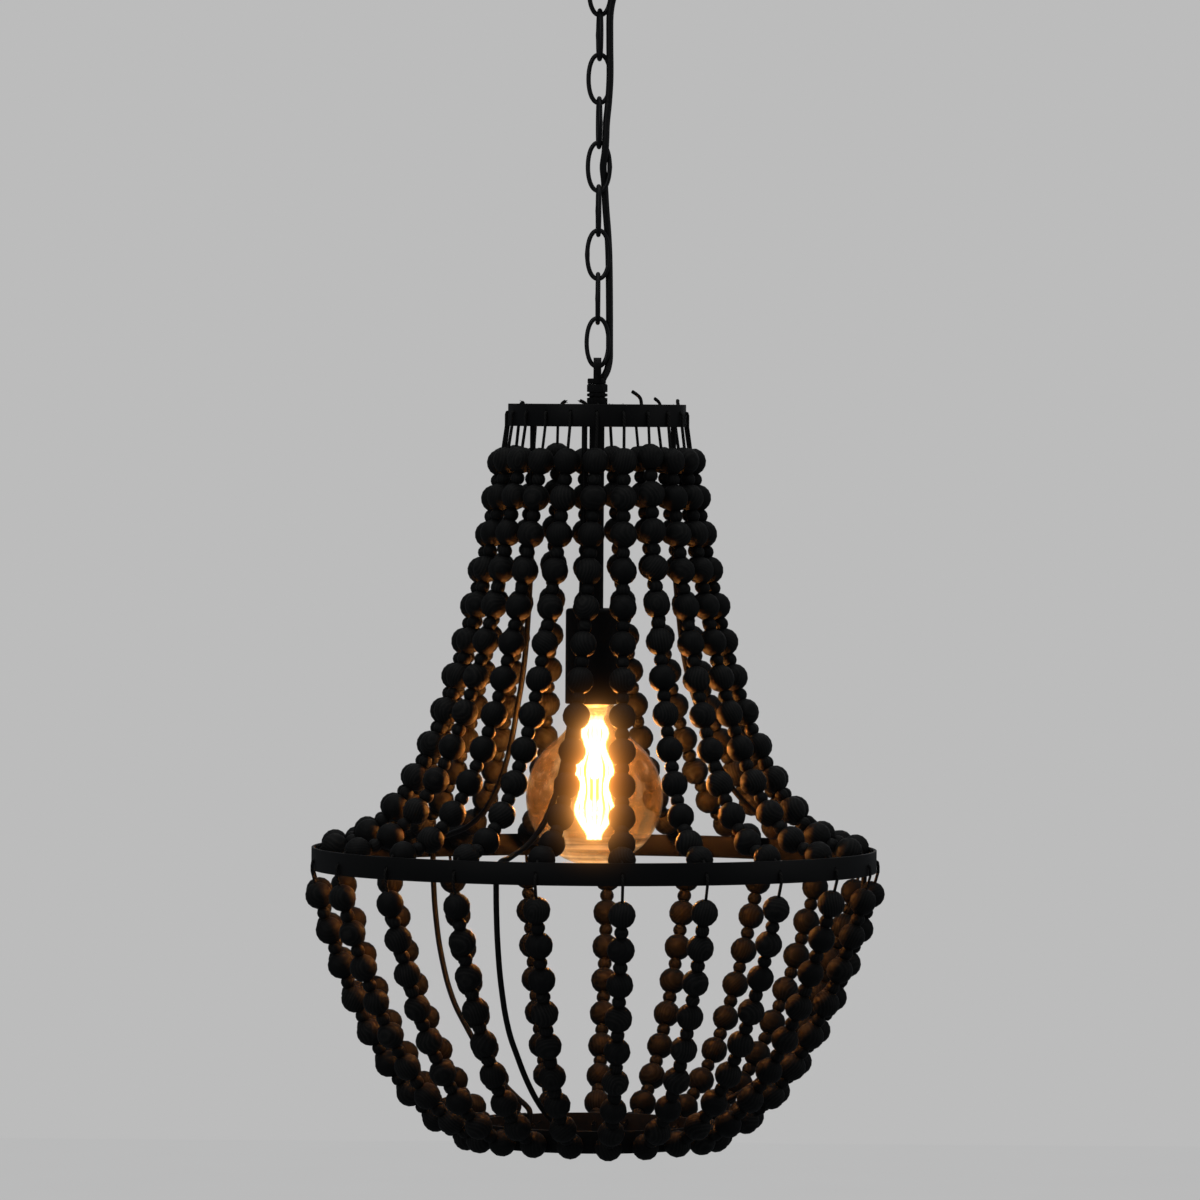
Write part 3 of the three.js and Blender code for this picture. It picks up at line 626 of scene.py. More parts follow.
# ---- power cord
# One cord, cut beside each joint of the chain, so that every length swings with its own link.
cordLook = {
    "radius": 2.5, "roundness": 6, "ballShares": (0.48, 0.84, 0.98),
    "fineSteps": 3000, "topSteps": 20, "stepsPerRun": 14, "lowSteps": 78,
    "route": [
        (18, -4.6, -13.3), (18, -4.6, -30), (18, -4.6, -46), (15.2, -4.7, -58), (10.2, -4.8, -70),
        (7.2, -4.8, -84), (7.0, -4.8, -104), (7.3, -4.8, -128), (6.4, -4.8, -146), (5.1, -4.9, -160),
        (4.7, -4.8, -172), (4.2, -3.4, -181), (3.0, 0, -190.6), (3.9, 3.4, -200.2), (4.4, 4.8, -209),
        (5.2, 4.9, -221), (6.5, 4.9, -236), (7.4, 4.8, -252), (7.9, 4.8, -275), (8.2, 4.8, -300),
        (8.3, 4.7, -315), (8.2, 3.8, -324.5), (6.7, 1.8, -331.8), (4.2, 0.3, -336.6), (2.5, 0, -340.8),
        (1.2, 0, -346), (0.3, 0, -352), (0, 0, -360), (0, 0, -400), (0, 0, -460), (0, 0, -520.2),
    ],
    "firstJoint": -55.7, "joint": -85.85, "pitch": 30.4, "links": 9,
}


# A length of cord with ball ends, so that it still meets its neighbours when the chain swings.
def cordLength(name, before, run, after):
    radius = cordLook["radius"] * mm
    points, sizes = list(run), [1.0] * len(run)
    for share in cordLook["ballShares"]:
        size = math.sqrt(1 - share ** 2)
        if after:
            points.append(run[-1] + (after - run[-1]).normalized() * radius * share)
            sizes.append(size)
        if before:
            points.insert(0, run[0] + (before - run[0]).normalized() * radius * share)
            sizes.insert(0, size)
    steps = len(sizes) - 1
    tube = cordTube(name, [points], radius, cordLook["roundness"], lambda t: sizes[round(t * steps)])
    return smooth(tube, 50)


def addCord():
    k = cordLook
    links = k["links"]
    line = evenLine(smoothLine([Vector(p) * mm for p in k["route"]]), k["fineSteps"])
    heights = [k["firstJoint"]] + [k["joint"] - k["pitch"] * n for n in range(links)]
    cuts = [next(i for i, p in enumerate(line) if p.z < height * mm) for height in heights]
    runs = [evenLine(line[:cuts[0] + 1], k["topSteps"])]
    runs += [evenLine(line[a:b + 1], k["stepsPerRun"]) for a, b in zip(cuts, cuts[1:])]
    runs.append(evenLine(line[cuts[-1]:], k["lowSteps"]))
    top = cordLength("cordTop", None, runs[0], runs[1][1])
    settle(top, "cordTop", "ceiling_fitting", "cord_sheath", "power_cord")
    for number in range(1, links + 1):
        name, run = f"cordRun{number}", runs[number]
        piece = cordLength(name, runs[number - 1][-2], run, runs[number + 1][1])
        settle(piece, name, f"link_{links + 1 - number}", "cord_sheath")
        lineLength(run)
    low = cordLength("cordLow", runs[-2][-2], runs[-1], None)
    settle(low, "cordLow", "chandelier", "cord_sheath")
    print("  cord, mm:", [round(lineLength(run) / mm, 1) for run in runs])


addCord()
print("stage: cord")


# ---- chain
chainLook = {
    "links": 9, "wire": 1.62, "halfWidth": 9.2, "halfLength": 18.45, "squareness": 1.08,
    "lowest": -312.2, "pitch": 30.4, "weld": 0.12, "weldLength": 2.2, "leastSwell": 0.01, "twist": 1.1,
    "wearFrom": 13, "wearReach": 4.2, "resolution": 14,
}


def addChain():
    k = chainLook
    bpy.ops.curve.primitive_bezier_circle_add(radius=1)
    curve = bpy.context.object.data
    wire = k["wire"]
    across, along = (k["halfWidth"] - wire) * mm, (k["halfLength"] - wire) * mm
    knots = curve.splines[0].bezier_points
    for knot in knots:
        knot.handle_left_type = knot.handle_right_type = "FREE"
    for knot in knots:
        for side in ("handle_left", "handle_right"):
            handle = knot.co + (getattr(knot, side) - knot.co) * k["squareness"]
            setattr(knot, side, Vector((handle.x * across, 0, handle.y * along)))
        knot.co = Vector((knot.co.x * across, 0, knot.co.y * along))
    curve.splines[0].resolution_u = k["resolution"]
    curve.bevel_depth = wire * mm
    curve.bevel_resolution = 3
    bpy.ops.object.convert(target="MESH")
    link = bpy.context.object
    # the links rub where they hang in each other, and the weld is a slight swelling on one side
    wear(link, lambda p: max(0.0, 1 - math.hypot(p.x, p.y) / k["wearReach"])
         if k["wearFrom"] < abs(p.z) < k["halfLength"] - wire else 0.0)
    for vertex in link.data.vertices:
        x, y, z = vertex.co / mm
        swell = k["weld"] * math.exp(-(z / k["weldLength"]) ** 2)
        if x > 0 and swell > k["leastSwell"]:
            middle = Vector((across / mm, 0, z))
            vertex.co = (middle + (Vector((x, y, z)) - middle) * (1 + swell)) * mm
    smooth(link, 60)
    for number in range(1, k["links"] + 1):
        oval = copyPiece(link)
        oval.location.z = (k["lowest"] + (number - 1) * k["pitch"]) * mm
        turn = 0 if number % 2 else 90
        flip = 180 if number % 3 == 0 else 0
        oval.rotation_euler.z = math.radians(turn + flip + k["twist"] * (number - 1))
        settle(oval, f"linkOval{number}", f"link_{number}", "black_steel", f"chain_link_{number}")
    bpy.data.objects.remove(link)


addChain()
print("stage: chain")


# ---- ceiling fitting
fittingLook = {
    "canopyRadius": 52, "canopyDepth": 28, "canopyEdge": 9, "canopyWall": 1.2, "canopyRim": -0.6,
    "studRadius": 4, "studTop": -2.6, "studBottom": -39.4, "studPitch": 1.25,
    "hookWire": 1.75, "hookRadius": 8.25, "hookMiddle": -47.45, "hookMouth": 5,
    "hookShoulder": [(0, -41), (2.2, -41), (2.8, -39.8), (3.6, -38.8), (3.6, -38.2), (0, -38.2)],
    "nutFlats": 13, "nutTop": -28.3, "nutHeight": 5.5,
    "glandX": 18, "glandY": -4.6, "glandNeck": 4.8, "glandFlange": 6.6, "glandTip": -43.3,
    "plate": (84, 24, 2), "plateCorner": 3, "slotSpacing": 66, "slotLength": 9, "slotWidth": 4.6,
    "bossRadius": 8, "bossBottom": -9, "bossFillet": 1.2,
    "blockSize": (18, 14, 10.6), "blockTop": -2.3, "screwSpacing": 5.3,
}


def addCanopy():
    k = fittingLook
    outer, edge, wall = k["canopyRadius"], k["canopyEdge"], k["canopyWall"]
    floor, rim = -k["canopyDepth"], k["canopyRim"]
    middle = (outer - edge, floor + edge)
    cup = turned([
        (outer - 0.3, rim), (outer, rim - 0.3), *quarter(middle, edge, 0, -90, 10), (0, floor),
        (0, floor + wall), *quarter(middle, edge - wall, -90, 0, 8), (outer - wall, rim - 0.3),
        (outer - wall + 0.3, rim), (outer - 0.3, rim),
    ], 96)
    for radius, x, y in ((k["studRadius"] + 0.3, 0, 0), (k["glandNeck"] + 0.3, k["glandX"], k["glandY"])):
        combine(cup, peg(radius, 8, (x * mm, y * mm, floor * mm)))
    settle(smooth(cup, 30), "canopyCup", "ceiling_fitting", "black_coat", "canopy_cup")


def addHook():
    k = fittingLook
    low, high, ringRadius, middle = k["studBottom"], k["studTop"], k["hookRadius"], k["hookMiddle"]
    radius = k["studRadius"] - 0.25
    rows = upright(radius, low, high, int((high - low) / 0.3))
    stud = turned([(0, rows[0][1]), (radius - 0.6, rows[0][1]), *rows[2:-2],
                   (radius - 0.6, rows[-1][1]), (0, rows[-1][1])], 32)
    cutThread(stud, k["studPitch"], 0.22, low + 1.5, high - 0.5)
    sweep = 360 - math.degrees(k["hookMouth"] / ringRadius)
    angles = [math.radians(sweep * step / 32) for step in range(33)]
    points = [Vector((0, ringRadius * math.sin(a), middle + ringRadius * math.cos(a))) * mm for a in angles]
    ring = bentRod(points, k["hookWire"] * mm, 2, 4)
    hook = smooth(joinPieces("hook", [stud, ring, turned(k["hookShoulder"], 32)]), 40)
    # the hook is rubbed on the inside of its bowl
    wear(hook, lambda p: 0.9 if p.z < middle - 6
         and math.hypot(p.y, p.z - middle) < ringRadius - 0.4 else 0.0)
    settle(hook, "ceilingHook", "ceiling_fitting", "black_steel", "ceiling_hook")


def addNut(name, node, body, flats, bore, bottom, top):
    reach = flats / 2 / math.cos(math.radians(30))
    face, chamfer = flats / 2 - 0.2, (reach - flats / 2) * 0.55
    profile = [(face, bottom), (reach, bottom + chamfer), (reach, top - chamfer), (face, top)]
    nut = turnedHexagon(flats, profile, [(bore, bottom - 1, top + 1)])
    softenEdges(nut, 0.15, 1)
    settle(smooth(nut, 30), name, body, "black_steel", node)


def addGland():
    k = fittingLook
    top = -k["canopyDepth"] - 0.3
    neck, flange, tip = k["glandNeck"], k["glandFlange"], k["glandTip"]
    gland = turned([
        (2.8, tip), (3.5, tip), (3.8, tip + 0.5), (4.3, tip + 6.2), (4.7, top - 4.4), (5.4, top - 3.4),
        (flange - 0.4, top - 2.4), (flange, top - 2.0), (flange, top - 0.3), (flange - 0.3, top),
        (neck, top), (neck, -24.6), (2.8, -24.6), (2.8, tip),
    ])
    gland.location = (k["glandX"] * mm, k["glandY"] * mm, 0)
    settle(smooth(gland), "cordGland", "ceiling_fitting", "black_plastic", "cord_gland")


def addBracket():
    k = fittingLook
    thick = k["plate"][2]
    plate = block(k["plate"], (0, 0, -thick / 2 * mm))
    # round the plate's four upright corners
    bpy.ops.object.mode_set(mode="EDIT")
    bpy.ops.mesh.select_mode(type="EDGE")
    bpy.ops.mesh.select_all(action="DESELECT")
    bpy.ops.object.mode_set(mode="OBJECT")
    for edge in plate.data.edges:
        a, b = (plate.data.vertices[v].co for v in edge.vertices)
        edge.select = abs(a.x - b.x) < 1e-6 and abs(a.y - b.y) < 1e-6
    bpy.ops.object.mode_set(mode="EDIT")
    bpy.ops.mesh.bevel(offset=k["plateCorner"] * mm, segments=6)
    bpy.ops.mesh.select_mode(type="VERT")
    bpy.ops.object.mode_set(mode="OBJECT")
    radius, bottom, fillet = k["bossRadius"], k["bossBottom"], k["bossFillet"]
    boss = turned([
        (0, -1), (radius + fillet, -1), (radius + fillet, -thick),
        *quarter((radius + fillet, -thick - fillet), fillet, 90, 180, 4),
        (radius, bottom + 0.5), (radius - 0.5, bottom), (0, bottom),
    ])
    combine(plate, boss, "UNION")
    combine(plate, peg(k["studRadius"] + 0.3, 12, (0, 0, (-2.3 - 6) * mm)))
    for side in (-1, 1):
        slot = peg(k["slotWidth"] / 2, 8, sides=32)
        half = (k["slotLength"] - k["slotWidth"]) / 2 * mm
        for vertex in slot.data.vertices:
            vertex.co.x += half if vertex.co.x > 0 else -half
        slot.location.x = side * k["slotSpacing"] / 2 * mm
        combine(plate, slot)
    softenEdges(plate, 0.25, 2, 50)
    settle(smooth(plate), "ceilingBracket", "ceiling_fitting", "ceiling_zinc", "ceiling_bracket")


def addTerminalBlock():
    k = fittingLook
    _, width, height = k["blockSize"]
    middle = Vector((k["glandX"], k["glandY"], k["blockTop"] - height / 2)) * mm
    body = block(k["blockSize"], middle)
    softenEdges(body, 0.9, 3, 35)
    heads = []
    for side in (-1, 0, 1):
        x = middle.x + side * k["screwSpacing"] * mm
        front = middle.y - width / 2 * mm
        combine(body, peg(1.8, 6, (x, front, middle.z), 24, (math.pi / 2, 0, 0)))
        head = peg(1.65, 1.2, (x, front + 2.2 * mm, middle.z), 24, (math.pi / 2, 0, 0))
        slit = block((0.45, 0.9, 4), (x, front + 1.6 * mm, middle.z), (0, 0.5 + side * 0.6, 0))
        heads.append(combine(head, slit))
    settle(smooth(body), "terminalBlock", "ceiling_fitting", "ceramic", "terminal_block")
    screws = smooth(joinPieces("terminalScrews", heads))
    settle(screws, "terminalScrews", "ceiling_fitting", "contact_brass")


addCanopy()
addHook()
addNut("hookNut", "hook_nut", "ceiling_fitting", fittingLook["nutFlats"], fittingLook["studRadius"] + 0.3,
       fittingLook["nutTop"] - fittingLook["nutHeight"], fittingLook["nutTop"])
addGland()
addBracket()
addTerminalBlock()
print("stage: ceiling fitting")


# ---- loop, collar, stem and spider
stemLook = {
    "loopInner": 4.2, "loopThick": 3.2, "legThick": 2.6, "loopWidth": 5.5, "loopMiddle": -330.14,
    "baseTop": -337.14, "baseHeight": 3.5, "slotWidth": 6.4,
    "collarFlats": 12.4, "collarTop": -340.94, "collarBottom": -356.24, "collarChamfer": 0.8,
    "grooves": (0.6, 0.4), "grooveDepth": 0.7, "mouthDepth": 6.8,
    "stemRadius": 5.2, "stemBore": 4.1, "stemTop": -348.04, "stemBottom": -504.04, "fit": 0.3,
    "lockFlats": 15, "lockBottom": -365.34, "lockTop": -359.84,
    "spiderTop": -356.54, "spiderThick": 3, "hubRadius": 11,
    "arms": 3, "armWidth": 11, "armReach": 59.1, "armOverrun": 0.9, "armAngle": -8.571,
    "weldAngle": 3.4, "weldRadius": 1.3, "weldStretch": (1.5, 1, 0.8), "weldSkin": 0.12,
}


# The strap's section is spun over the crown, and its two ends are drawn down into legs.
def bendStrap():
    k = stemLook
    inner, leg, width = k["loopInner"], k["legThick"], k["loopWidth"]
    crown = k["loopMiddle"] * mm
    bpy.ops.mesh.primitive_plane_add(size=1)
    strap = bpy.context.object
    for vertex in strap.data.vertices:
        radius = inner if vertex.co.x < 0 else inner + leg
        vertex.co = Vector((width / 2 if vertex.co.y > 0 else -width / 2, radius, 0)) * mm
        vertex.co.z = crown
    bpy.ops.object.mode_set(mode="EDIT")
    bpy.ops.mesh.select_all(action="SELECT")
    bpy.ops.mesh.spin(steps=28, angle=math.pi, center=(0, 0, crown), axis=(1, 0, 0))
    mend(outwards=False)
    # the spin runs downwards, so the strap is turned over before its crown is thickened
    for vertex in strap.data.vertices:
        vertex.co.z = 2 * crown - vertex.co.z
        rise = vertex.co.z - crown
        radius = math.hypot(vertex.co.y, rise)
        if rise > 1e-6 and radius > (inner + 0.5 * leg) * mm:
            swell = 1 + (k["loopThick"] - leg) / (inner + leg) * rise / radius
            vertex.co.y *= swell
            vertex.co.z = crown + rise * swell
    bpy.ops.object.mode_set(mode="EDIT")
    bpy.ops.mesh.select_all(action="DESELECT")
    bpy.ops.mesh.select_mode(type="FACE")
    bpy.ops.object.mode_set(mode="OBJECT")
    for face in strap.data.polygons:
        face.select = all(abs(strap.data.vertices[v].co.z - crown) < 1e-6 for v in face.vertices)
    bpy.ops.object.mode_set(mode="EDIT")
    drop = (k["baseTop"] - 1.5 - k["loopMiddle"]) * mm
    bpy.ops.mesh.extrude_region_move(TRANSFORM_OT_translate={"value": (0, 0, drop)})
    bpy.ops.mesh.select_mode(type="VERT")
    mend()
    return strap


def addLoop():
    k = stemLook
    strap = bendStrap()
    outer, top, foot = k["loopInner"] + k["legThick"], k["baseTop"], k["collarTop"] + 0.02
    loop = turned([(0, foot), (outer - 0.4, foot), (outer, foot + 0.4), (outer, top - 0.6),
                   (outer - 0.6, top), (0, top)], 64)
    combine(loop, strap, "UNION")
    middle, depth = (top - k["baseHeight"] / 2) * mm, k["baseHeight"] + 4
    combine(loop, block((outer + 2, k["slotWidth"], depth), ((outer + 2) / 2 * mm, 0, middle)))
    combine(loop, peg(k["slotWidth"] / 2, depth, (0, 0, middle)))
    softenEdges(loop, 0.3)
    settle(smooth(loop), "hangingLoop", "chandelier", "black_coat", "hanging_loop")


def addCollar():
    k = stemLook
    flat = k["collarFlats"] / 2
    corner = flat / math.cos(math.radians(30))
    top, bottom, chamfer, depth = k["collarTop"], k["collarBottom"], k["collarChamfer"], k["grooveDepth"]
    profile = [(corner - chamfer, bottom), (corner, bottom + chamfer)]
    for share in k["grooves"]:
        middle = top + share * (bottom - top)
        profile += [(corner, middle - depth), (flat - depth, middle - 0.25),
                    (flat - depth, middle + 0.25), (corner, middle + depth)]
    profile += [(corner, top - chamfer), (corner - chamfer, top)]
    collar = turnedHexagon(k["collarFlats"], profile, [
        (k["stemBore"], bottom - 1, top + 1),
        (k["stemRadius"] + k["fit"], bottom - 1, top - k["mouthDepth"]),
    ])
    softenEdges(collar, 0.12, 1)
    settle(smooth(collar, 30), "collarCoupling", "chandelier", "black_coat", "collar")


def addStem():
    k = stemLook
    bore, outer, low, high = k["stemBore"], k["stemRadius"], k["stemBottom"], k["stemTop"]
    tube = turned([
        (bore, low), (outer - 0.3, low), (outer, low + 0.3), (outer, (low + high) / 2), (outer, high - 0.3),
        (outer - 0.3, high), (bore, high), (bore, low),
    ])
    settle(smooth(tube), "stemTube", "chandelier", "black_coat", "stem_tube")


# A small lump of weld, its skin pushed about a little.
def weldBlob(place, radius, stretch):
    bpy.ops.mesh.primitive_ico_sphere_add(subdivisions=2, radius=radius * mm, location=place)
    blob = bpy.context.object
    blob.scale = stretch
    bakePlace(blob)
    skin = stemLook["weldSkin"]
    for vertex in blob.data.vertices:
        vertex.co += (vertex.co - place).normalized() * random.uniform(-skin, skin) * mm
    return blob


def addSpider():
    k = stemLook
    top, thick, hubRadius, reach = k["spiderTop"], k["spiderThick"], k["hubRadius"], k["armReach"]
    middle, length = (top - thick / 2) * mm, k["armReach"] + k["armOverrun"]
    angles = [k["armAngle"] + 360 / k["arms"] * i for i in range(k["arms"])]
    hub = turned([(0, top - thick), (hubRadius, top - thick), (hubRadius, top), (0, top)], 64)
    for angle in angles:
        arm = block((k["armWidth"], length, thick))
        arm.data.transform(Matrix.Translation((0, -length / 2 * mm, middle)))
        arm.data.transform(Matrix.Rotation(math.radians(angle), 4, "Z"))
        combine(hub, arm, "UNION")
    combine(hub, peg(k["stemRadius"] + k["fit"], 9, (0, 0, middle), 48))
    softenEdges(hub, 0.35)
    welds = []
    for angle in angles:
        for side in (-1, 1):
            place = around((reach + 0.1) * mm, angle + side * k["weldAngle"], (top - 0.2) * mm)
            welds.append(weldBlob(place, k["weldRadius"], k["weldStretch"]))
    spider = smooth(joinPieces("spider", [hub, *welds]))
    settle(spider, "topSpider", "chandelier", "black_coat", "top_spider")


addLoop()
addCollar()
addStem()
addSpider()
addNut("lockNut", "lock_nut", "chandelier", stemLook["lockFlats"], stemLook["stemRadius"] + stemLook["fit"],
       stemLook["lockBottom"], stemLook["lockTop"])
print("stage: loop, collar, stem and spider")


# ---- rings and ribs
# each ring: its CAD node, radius, middle, the holes' height, the first hole's angle and its sides
ringLook = {
    "height": 15.5, "wall": 2, "edge": 0.35, "hole": 1.3, "strands": 21,
    "rings": {
        "topRing": ("top_ring", 61.7, -362.69, -360.34, 0.0, 126),
        "wideHoop": ("mid_hoop", 196, -670.44, -670.44, -11.5, 252),
        "bottomRing": ("bottom_ring", 78, -860.74, -860.74, -9.5, 168),
    },
}


def addRing(name, node, radius, middle, holeHeight, firstHole, sides):
    k = ringLook
    bpy.ops.mesh.primitive_cylinder_add(
        vertices=sides, radius=radius * mm, depth=k["height"] * mm, end_fill_type="NOTHING",
        location=(0, 0, middle * mm),
    )
    band = bakePlace(bpy.context.object)
    applyModifier(band, "SOLIDIFY", thickness=k["wall"] * mm, offset=-1)
    softenEdges(band, k["edge"])
    cutters = []
    for i in range(k["strands"]):
        angle = firstHole + 360 / k["strands"] * i
        place = around(radius * mm, angle, holeHeight * mm)
        cutters.append(bakePlace(peg(k["hole"], 7, place, 16, (math.pi / 2, 0, math.radians(angle)))))
    combine(band, joinPieces("cutters", cutters))
    settle(smooth(band, 30), name, "chandelier", "black_coat", node)


for ringName, numbers in ringLook["rings"].items():
    addRing(ringName, *numbers)
print("stage: rings")

# a rib's upper and lower runs are shares of the way out to the hoop and down to the next ring
ribLook = {
    "radius": 2, "top": -363.14, "hoop": -670.44, "bottom": -860.74,
    "inside": (57.1, 191.4, 73.4), "angles": (-8.571, 111.429, 231.429), "twists": (-11.5, -11.5, -14.7),
    "upper": [
        (0, 0), (0.005, 0.28), (0.03, 0.43), (0.075, 0.57), (0.135, 0.66), (0.235, 0.78),
        (0.39, 0.878), (0.6, 0.939), (0.84, 0.97), (0.985, 0.988), (1, 1.02),
    ],
    "lower": [
        (1, 0.06), (0.993, 0.14), (0.965, 0.27), (0.905, 0.41), (0.79, 0.56), (0.64, 0.665),
        (0.46, 0.77), (0.27, 0.855), (0.12, 0.905), (0.035, 0.93), (0.0, 0.948), (0.0, 0.985),
    ],
    # each weld: how far out it is, its share of the twist, and its height
    "welds": ((59.4, 0, -361.5), (193.8, 1, -665.5), (193.8, 1, -675.5), (75.8, 1, -857.2)),
    "weldRadius": 1.5, "weldStretch": (1.1, 1.1, 1.7),
}


def addRib(number, angle, twist):
    k = ribLook
    inTop, inHoop, inBottom = k["inside"]
    turn = around(inHoop, angle + twist)
    points = []
    for end, shares, high, low in (
        (around(inTop, angle), k["upper"], k["top"], k["hoop"]),
        (around(inBottom, angle + twist), k["lower"], k["hoop"], k["bottom"]),
    ):
        for out, down in shares:
            point = end.lerp(turn, out)
            point.z = high + down * (low - high)
            points.append(point * mm)
    rod = bentRod(points, k["radius"] * mm, 6, 3)
    welds = []
    for radius, share, height in k["welds"]:
        place = around(radius * mm, angle + share * twist, height * mm)
        welds.append(weldBlob(place, k["weldRadius"], k["weldStretch"]))
    rib = smooth(joinPieces("rib", [rod, *welds]), 40)
    settle(rib, f"ribRod{number}", "chandelier", "black_coat", f"rib_rod_{number}")


for index, (ribAngle, ribTwist) in enumerate(zip(ribLook["angles"], ribLook["twists"])):
    addRib(index + 1, ribAngle, ribTwist)
print("stage: ribs")


# ---- lampholder
holderLook = {
    "radius": 20.75, "wall": 1.4, "top": -496.54, "rim": -562.54, "shoulder": 2.4, "bore": 5.5,
    "nutFlats": 15, "nutBottom": -503.74, "nutTop": -498.24,
    "bodyRadius": 18.6, "bodyTop": -520.54, "bodyBottom": -560.54, "bodyBore": 14.8,
    "shellRadius": 14.35, "shellWall": 0.4, "shellTop": -530.84, "shellLength": 24, "shellRows": 60,
    "threadPitch": 3.63, "contactBottom": -530.54,
}


def addHolder():
    k = holderLook
    radius, wall, top, rim, corner, bore = (
        k[key] for key in ("radius", "wall", "top", "rim", "shoulder", "bore")
    )
    inner = radius - wall
    cover = turned([
        (bore, top), (radius - corner, top), *quarter((radius - corner, top - corner), corner, 90, 0, 5),
        (radius, top - 20), (radius, rim + 0.4), (radius - 0.4, rim), (inner + 0.3, rim),
        (inner, rim + 0.3), (inner, top - wall - corner), (inner - corner, top - wall),
        (bore, top - wall), (bore, top),
    ], 72)
    settle(smooth(cover, 32), "holderCover", "chandelier", "black_coat", "lampholder_cover")
    addNut("holderNut", "lampholder_nut", "chandelier", k["nutFlats"], bore, k["nutBottom"], k["nutTop"])

    radius, top, bottom, bore, seat = (
        k[key] for key in ("bodyRadius", "bodyTop", "bodyBottom", "bodyBore", "contactBottom")
    )
    body = turned([
        (2, top), (radius - 1, top), (radius, top - 1), (radius, bottom + 0.8), (radius - 0.8, bottom),
        (bore + 0.5, bottom), (bore, bottom + 0.5), (bore, seat), (4.3, seat), (4.3, seat + 1.9),
        (2, seat + 1.9), (2, top),
    ], 56)
    settle(smooth(body), "holderBody", "chandelier", "ceramic", "lampholder_body")

    low, high = k["shellTop"] - k["shellLength"], k["shellTop"]
    outer = upright(k["shellRadius"] + k["shellWall"] / 2, low, high, k["shellRows"])
    within = [(r - k["shellWall"], h) for r, h in reversed(outer)]
    shell = turned([*outer, *within, outer[0]])
    cutThread(shell, k["threadPitch"], 0.35, low, high)
    settle(smooth(shell, 50), "screwShell", "chandelier", "contact_brass", "screw_shell")
    disc = turned([(0, seat), (3.2, seat), (3.9, -529.9), (3.9, -529.3), (0, -528.95)], 32)
    settle(smooth(disc), "centreContact", "chandelier", "contact_brass", "centre_contact")


addHolder()
print("stage: lampholder")


# ---- bulb
bulbLook = {
    "radius": 47.5, "middle": -627.34, "wall": 0.9, "neckRadius": 13.2, "neckTop": -561.14, "shoulder": 50,
    "neckSteps": 12, "globeSteps": 28,
    "capRadius": 12.9, "capTop": -530.84, "capBottom": -560.84, "capRows": 64,
    "stemRadius": 3.2, "stemEnd": -611.14, "flareRadius": 12.0,
    "wireRadius": 0.95, "turns": 7, "loopRise": 2.2,
    "swell": [
        (5.0, -574), (9.0, -583), (6.6, -590.5), (8.2, -597), (12.6, -608.5), (10.6, -618.5),
        (10.4, -626), (13.2, -636.5), (9.6, -645.5), (4.4, -654),
    ],
    "light": 10.0, "lightColour": (1.0, 0.46, 0.16), "lightMiddle": -612, "lightRadius": 14,
}


# A straight neck runs into the globe along a Bezier curve.
def addGlobe():
    k = bulbLook
    radius, middle, neck, top = k["radius"], k["middle"], k["neckRadius"], k["neckTop"]
    angle = math.radians(k["shoulder"])
    a, b = Vector((neck, top)), Vector((neck, top - neck))
    d = Vector((radius * math.cos(angle), middle + radius * math.sin(angle)))
    c = Vector((d.x - neck * math.sin(angle), d.y + neck * math.cos(angle)))
    outline = []
    for step in range(k["neckSteps"] + 1):
        t = step / k["neckSteps"]
        point = a * (1 - t) ** 3 + 3 * b * t * (1 - t) ** 2 + 3 * c * t ** 2 * (1 - t) + d * t ** 3
        outline.append((point.x, point.y))
    for step in range(1, k["globeSteps"]):
        turn = angle - (angle + math.pi / 2) * step / k["globeSteps"]
        outline.append((radius * math.cos(turn), middle + radius * math.sin(turn)))
    globe = turned([*outline, (0.0, middle - radius)], 72)
    applyModifier(globe, "SOLIDIFY", thickness=k["wall"] * mm, offset=-1)
    settle(smooth(globe, 40), "bulbGlobe", "bulb", "amber_glass", "bulb_globe")


def addCap():
    k = bulbLook
    top, bottom, radius = k["capTop"], k["capBottom"], k["capRadius"]
    thread = upright(radius, bottom, top - 5, k["capRows"])
    cap = turned([
        *thread, (10.5, top - 3.2), (6.5, top - 1.6), (4.5, top - 1.2), (4.2, top - 0.2), (2.5, top),
        (0, top), (0, top - 2.6), (6, top - 3), (radius - 1.2, top - 6), (radius - 1.2, bottom), thread[0],
    ], 56)
    cutThread(cap, holderLook["threadPitch"], 0.4, bottom + 3, top - 5)
    settle(smooth(cap, 45), "bulbCap", "bulb", "contact_brass", "bulb_screw_cap")


def addGlassStem():
    k = bulbLook
    top, flare, rod, end = k["neckTop"], k["flareRadius"], k["stemRadius"], k["stemEnd"]
    stem = turned([
        (0, top), (flare, top), (flare, top - 0.9), (10.2, top - 2.2), (8.8, top - 3.8), (9.0, top - 5.2),
        (8.0, top - 6.6), (8.2, top - 8.2), (7.2, top - 10.2), (5.2, top - 13.5), (rod, top - 17),
        (rod * 0.9, -590), (rod, -600), (rod * 1.25, end + 2),
        *quarter((0, end), rod * 1.25, 0, -90, 6)[:-1], (0, end - rod * 1.25),
    ], 40)
    settle(smooth(stem, 40), "bulbStem", "bulb", "clear_glass", "bulb_stem")


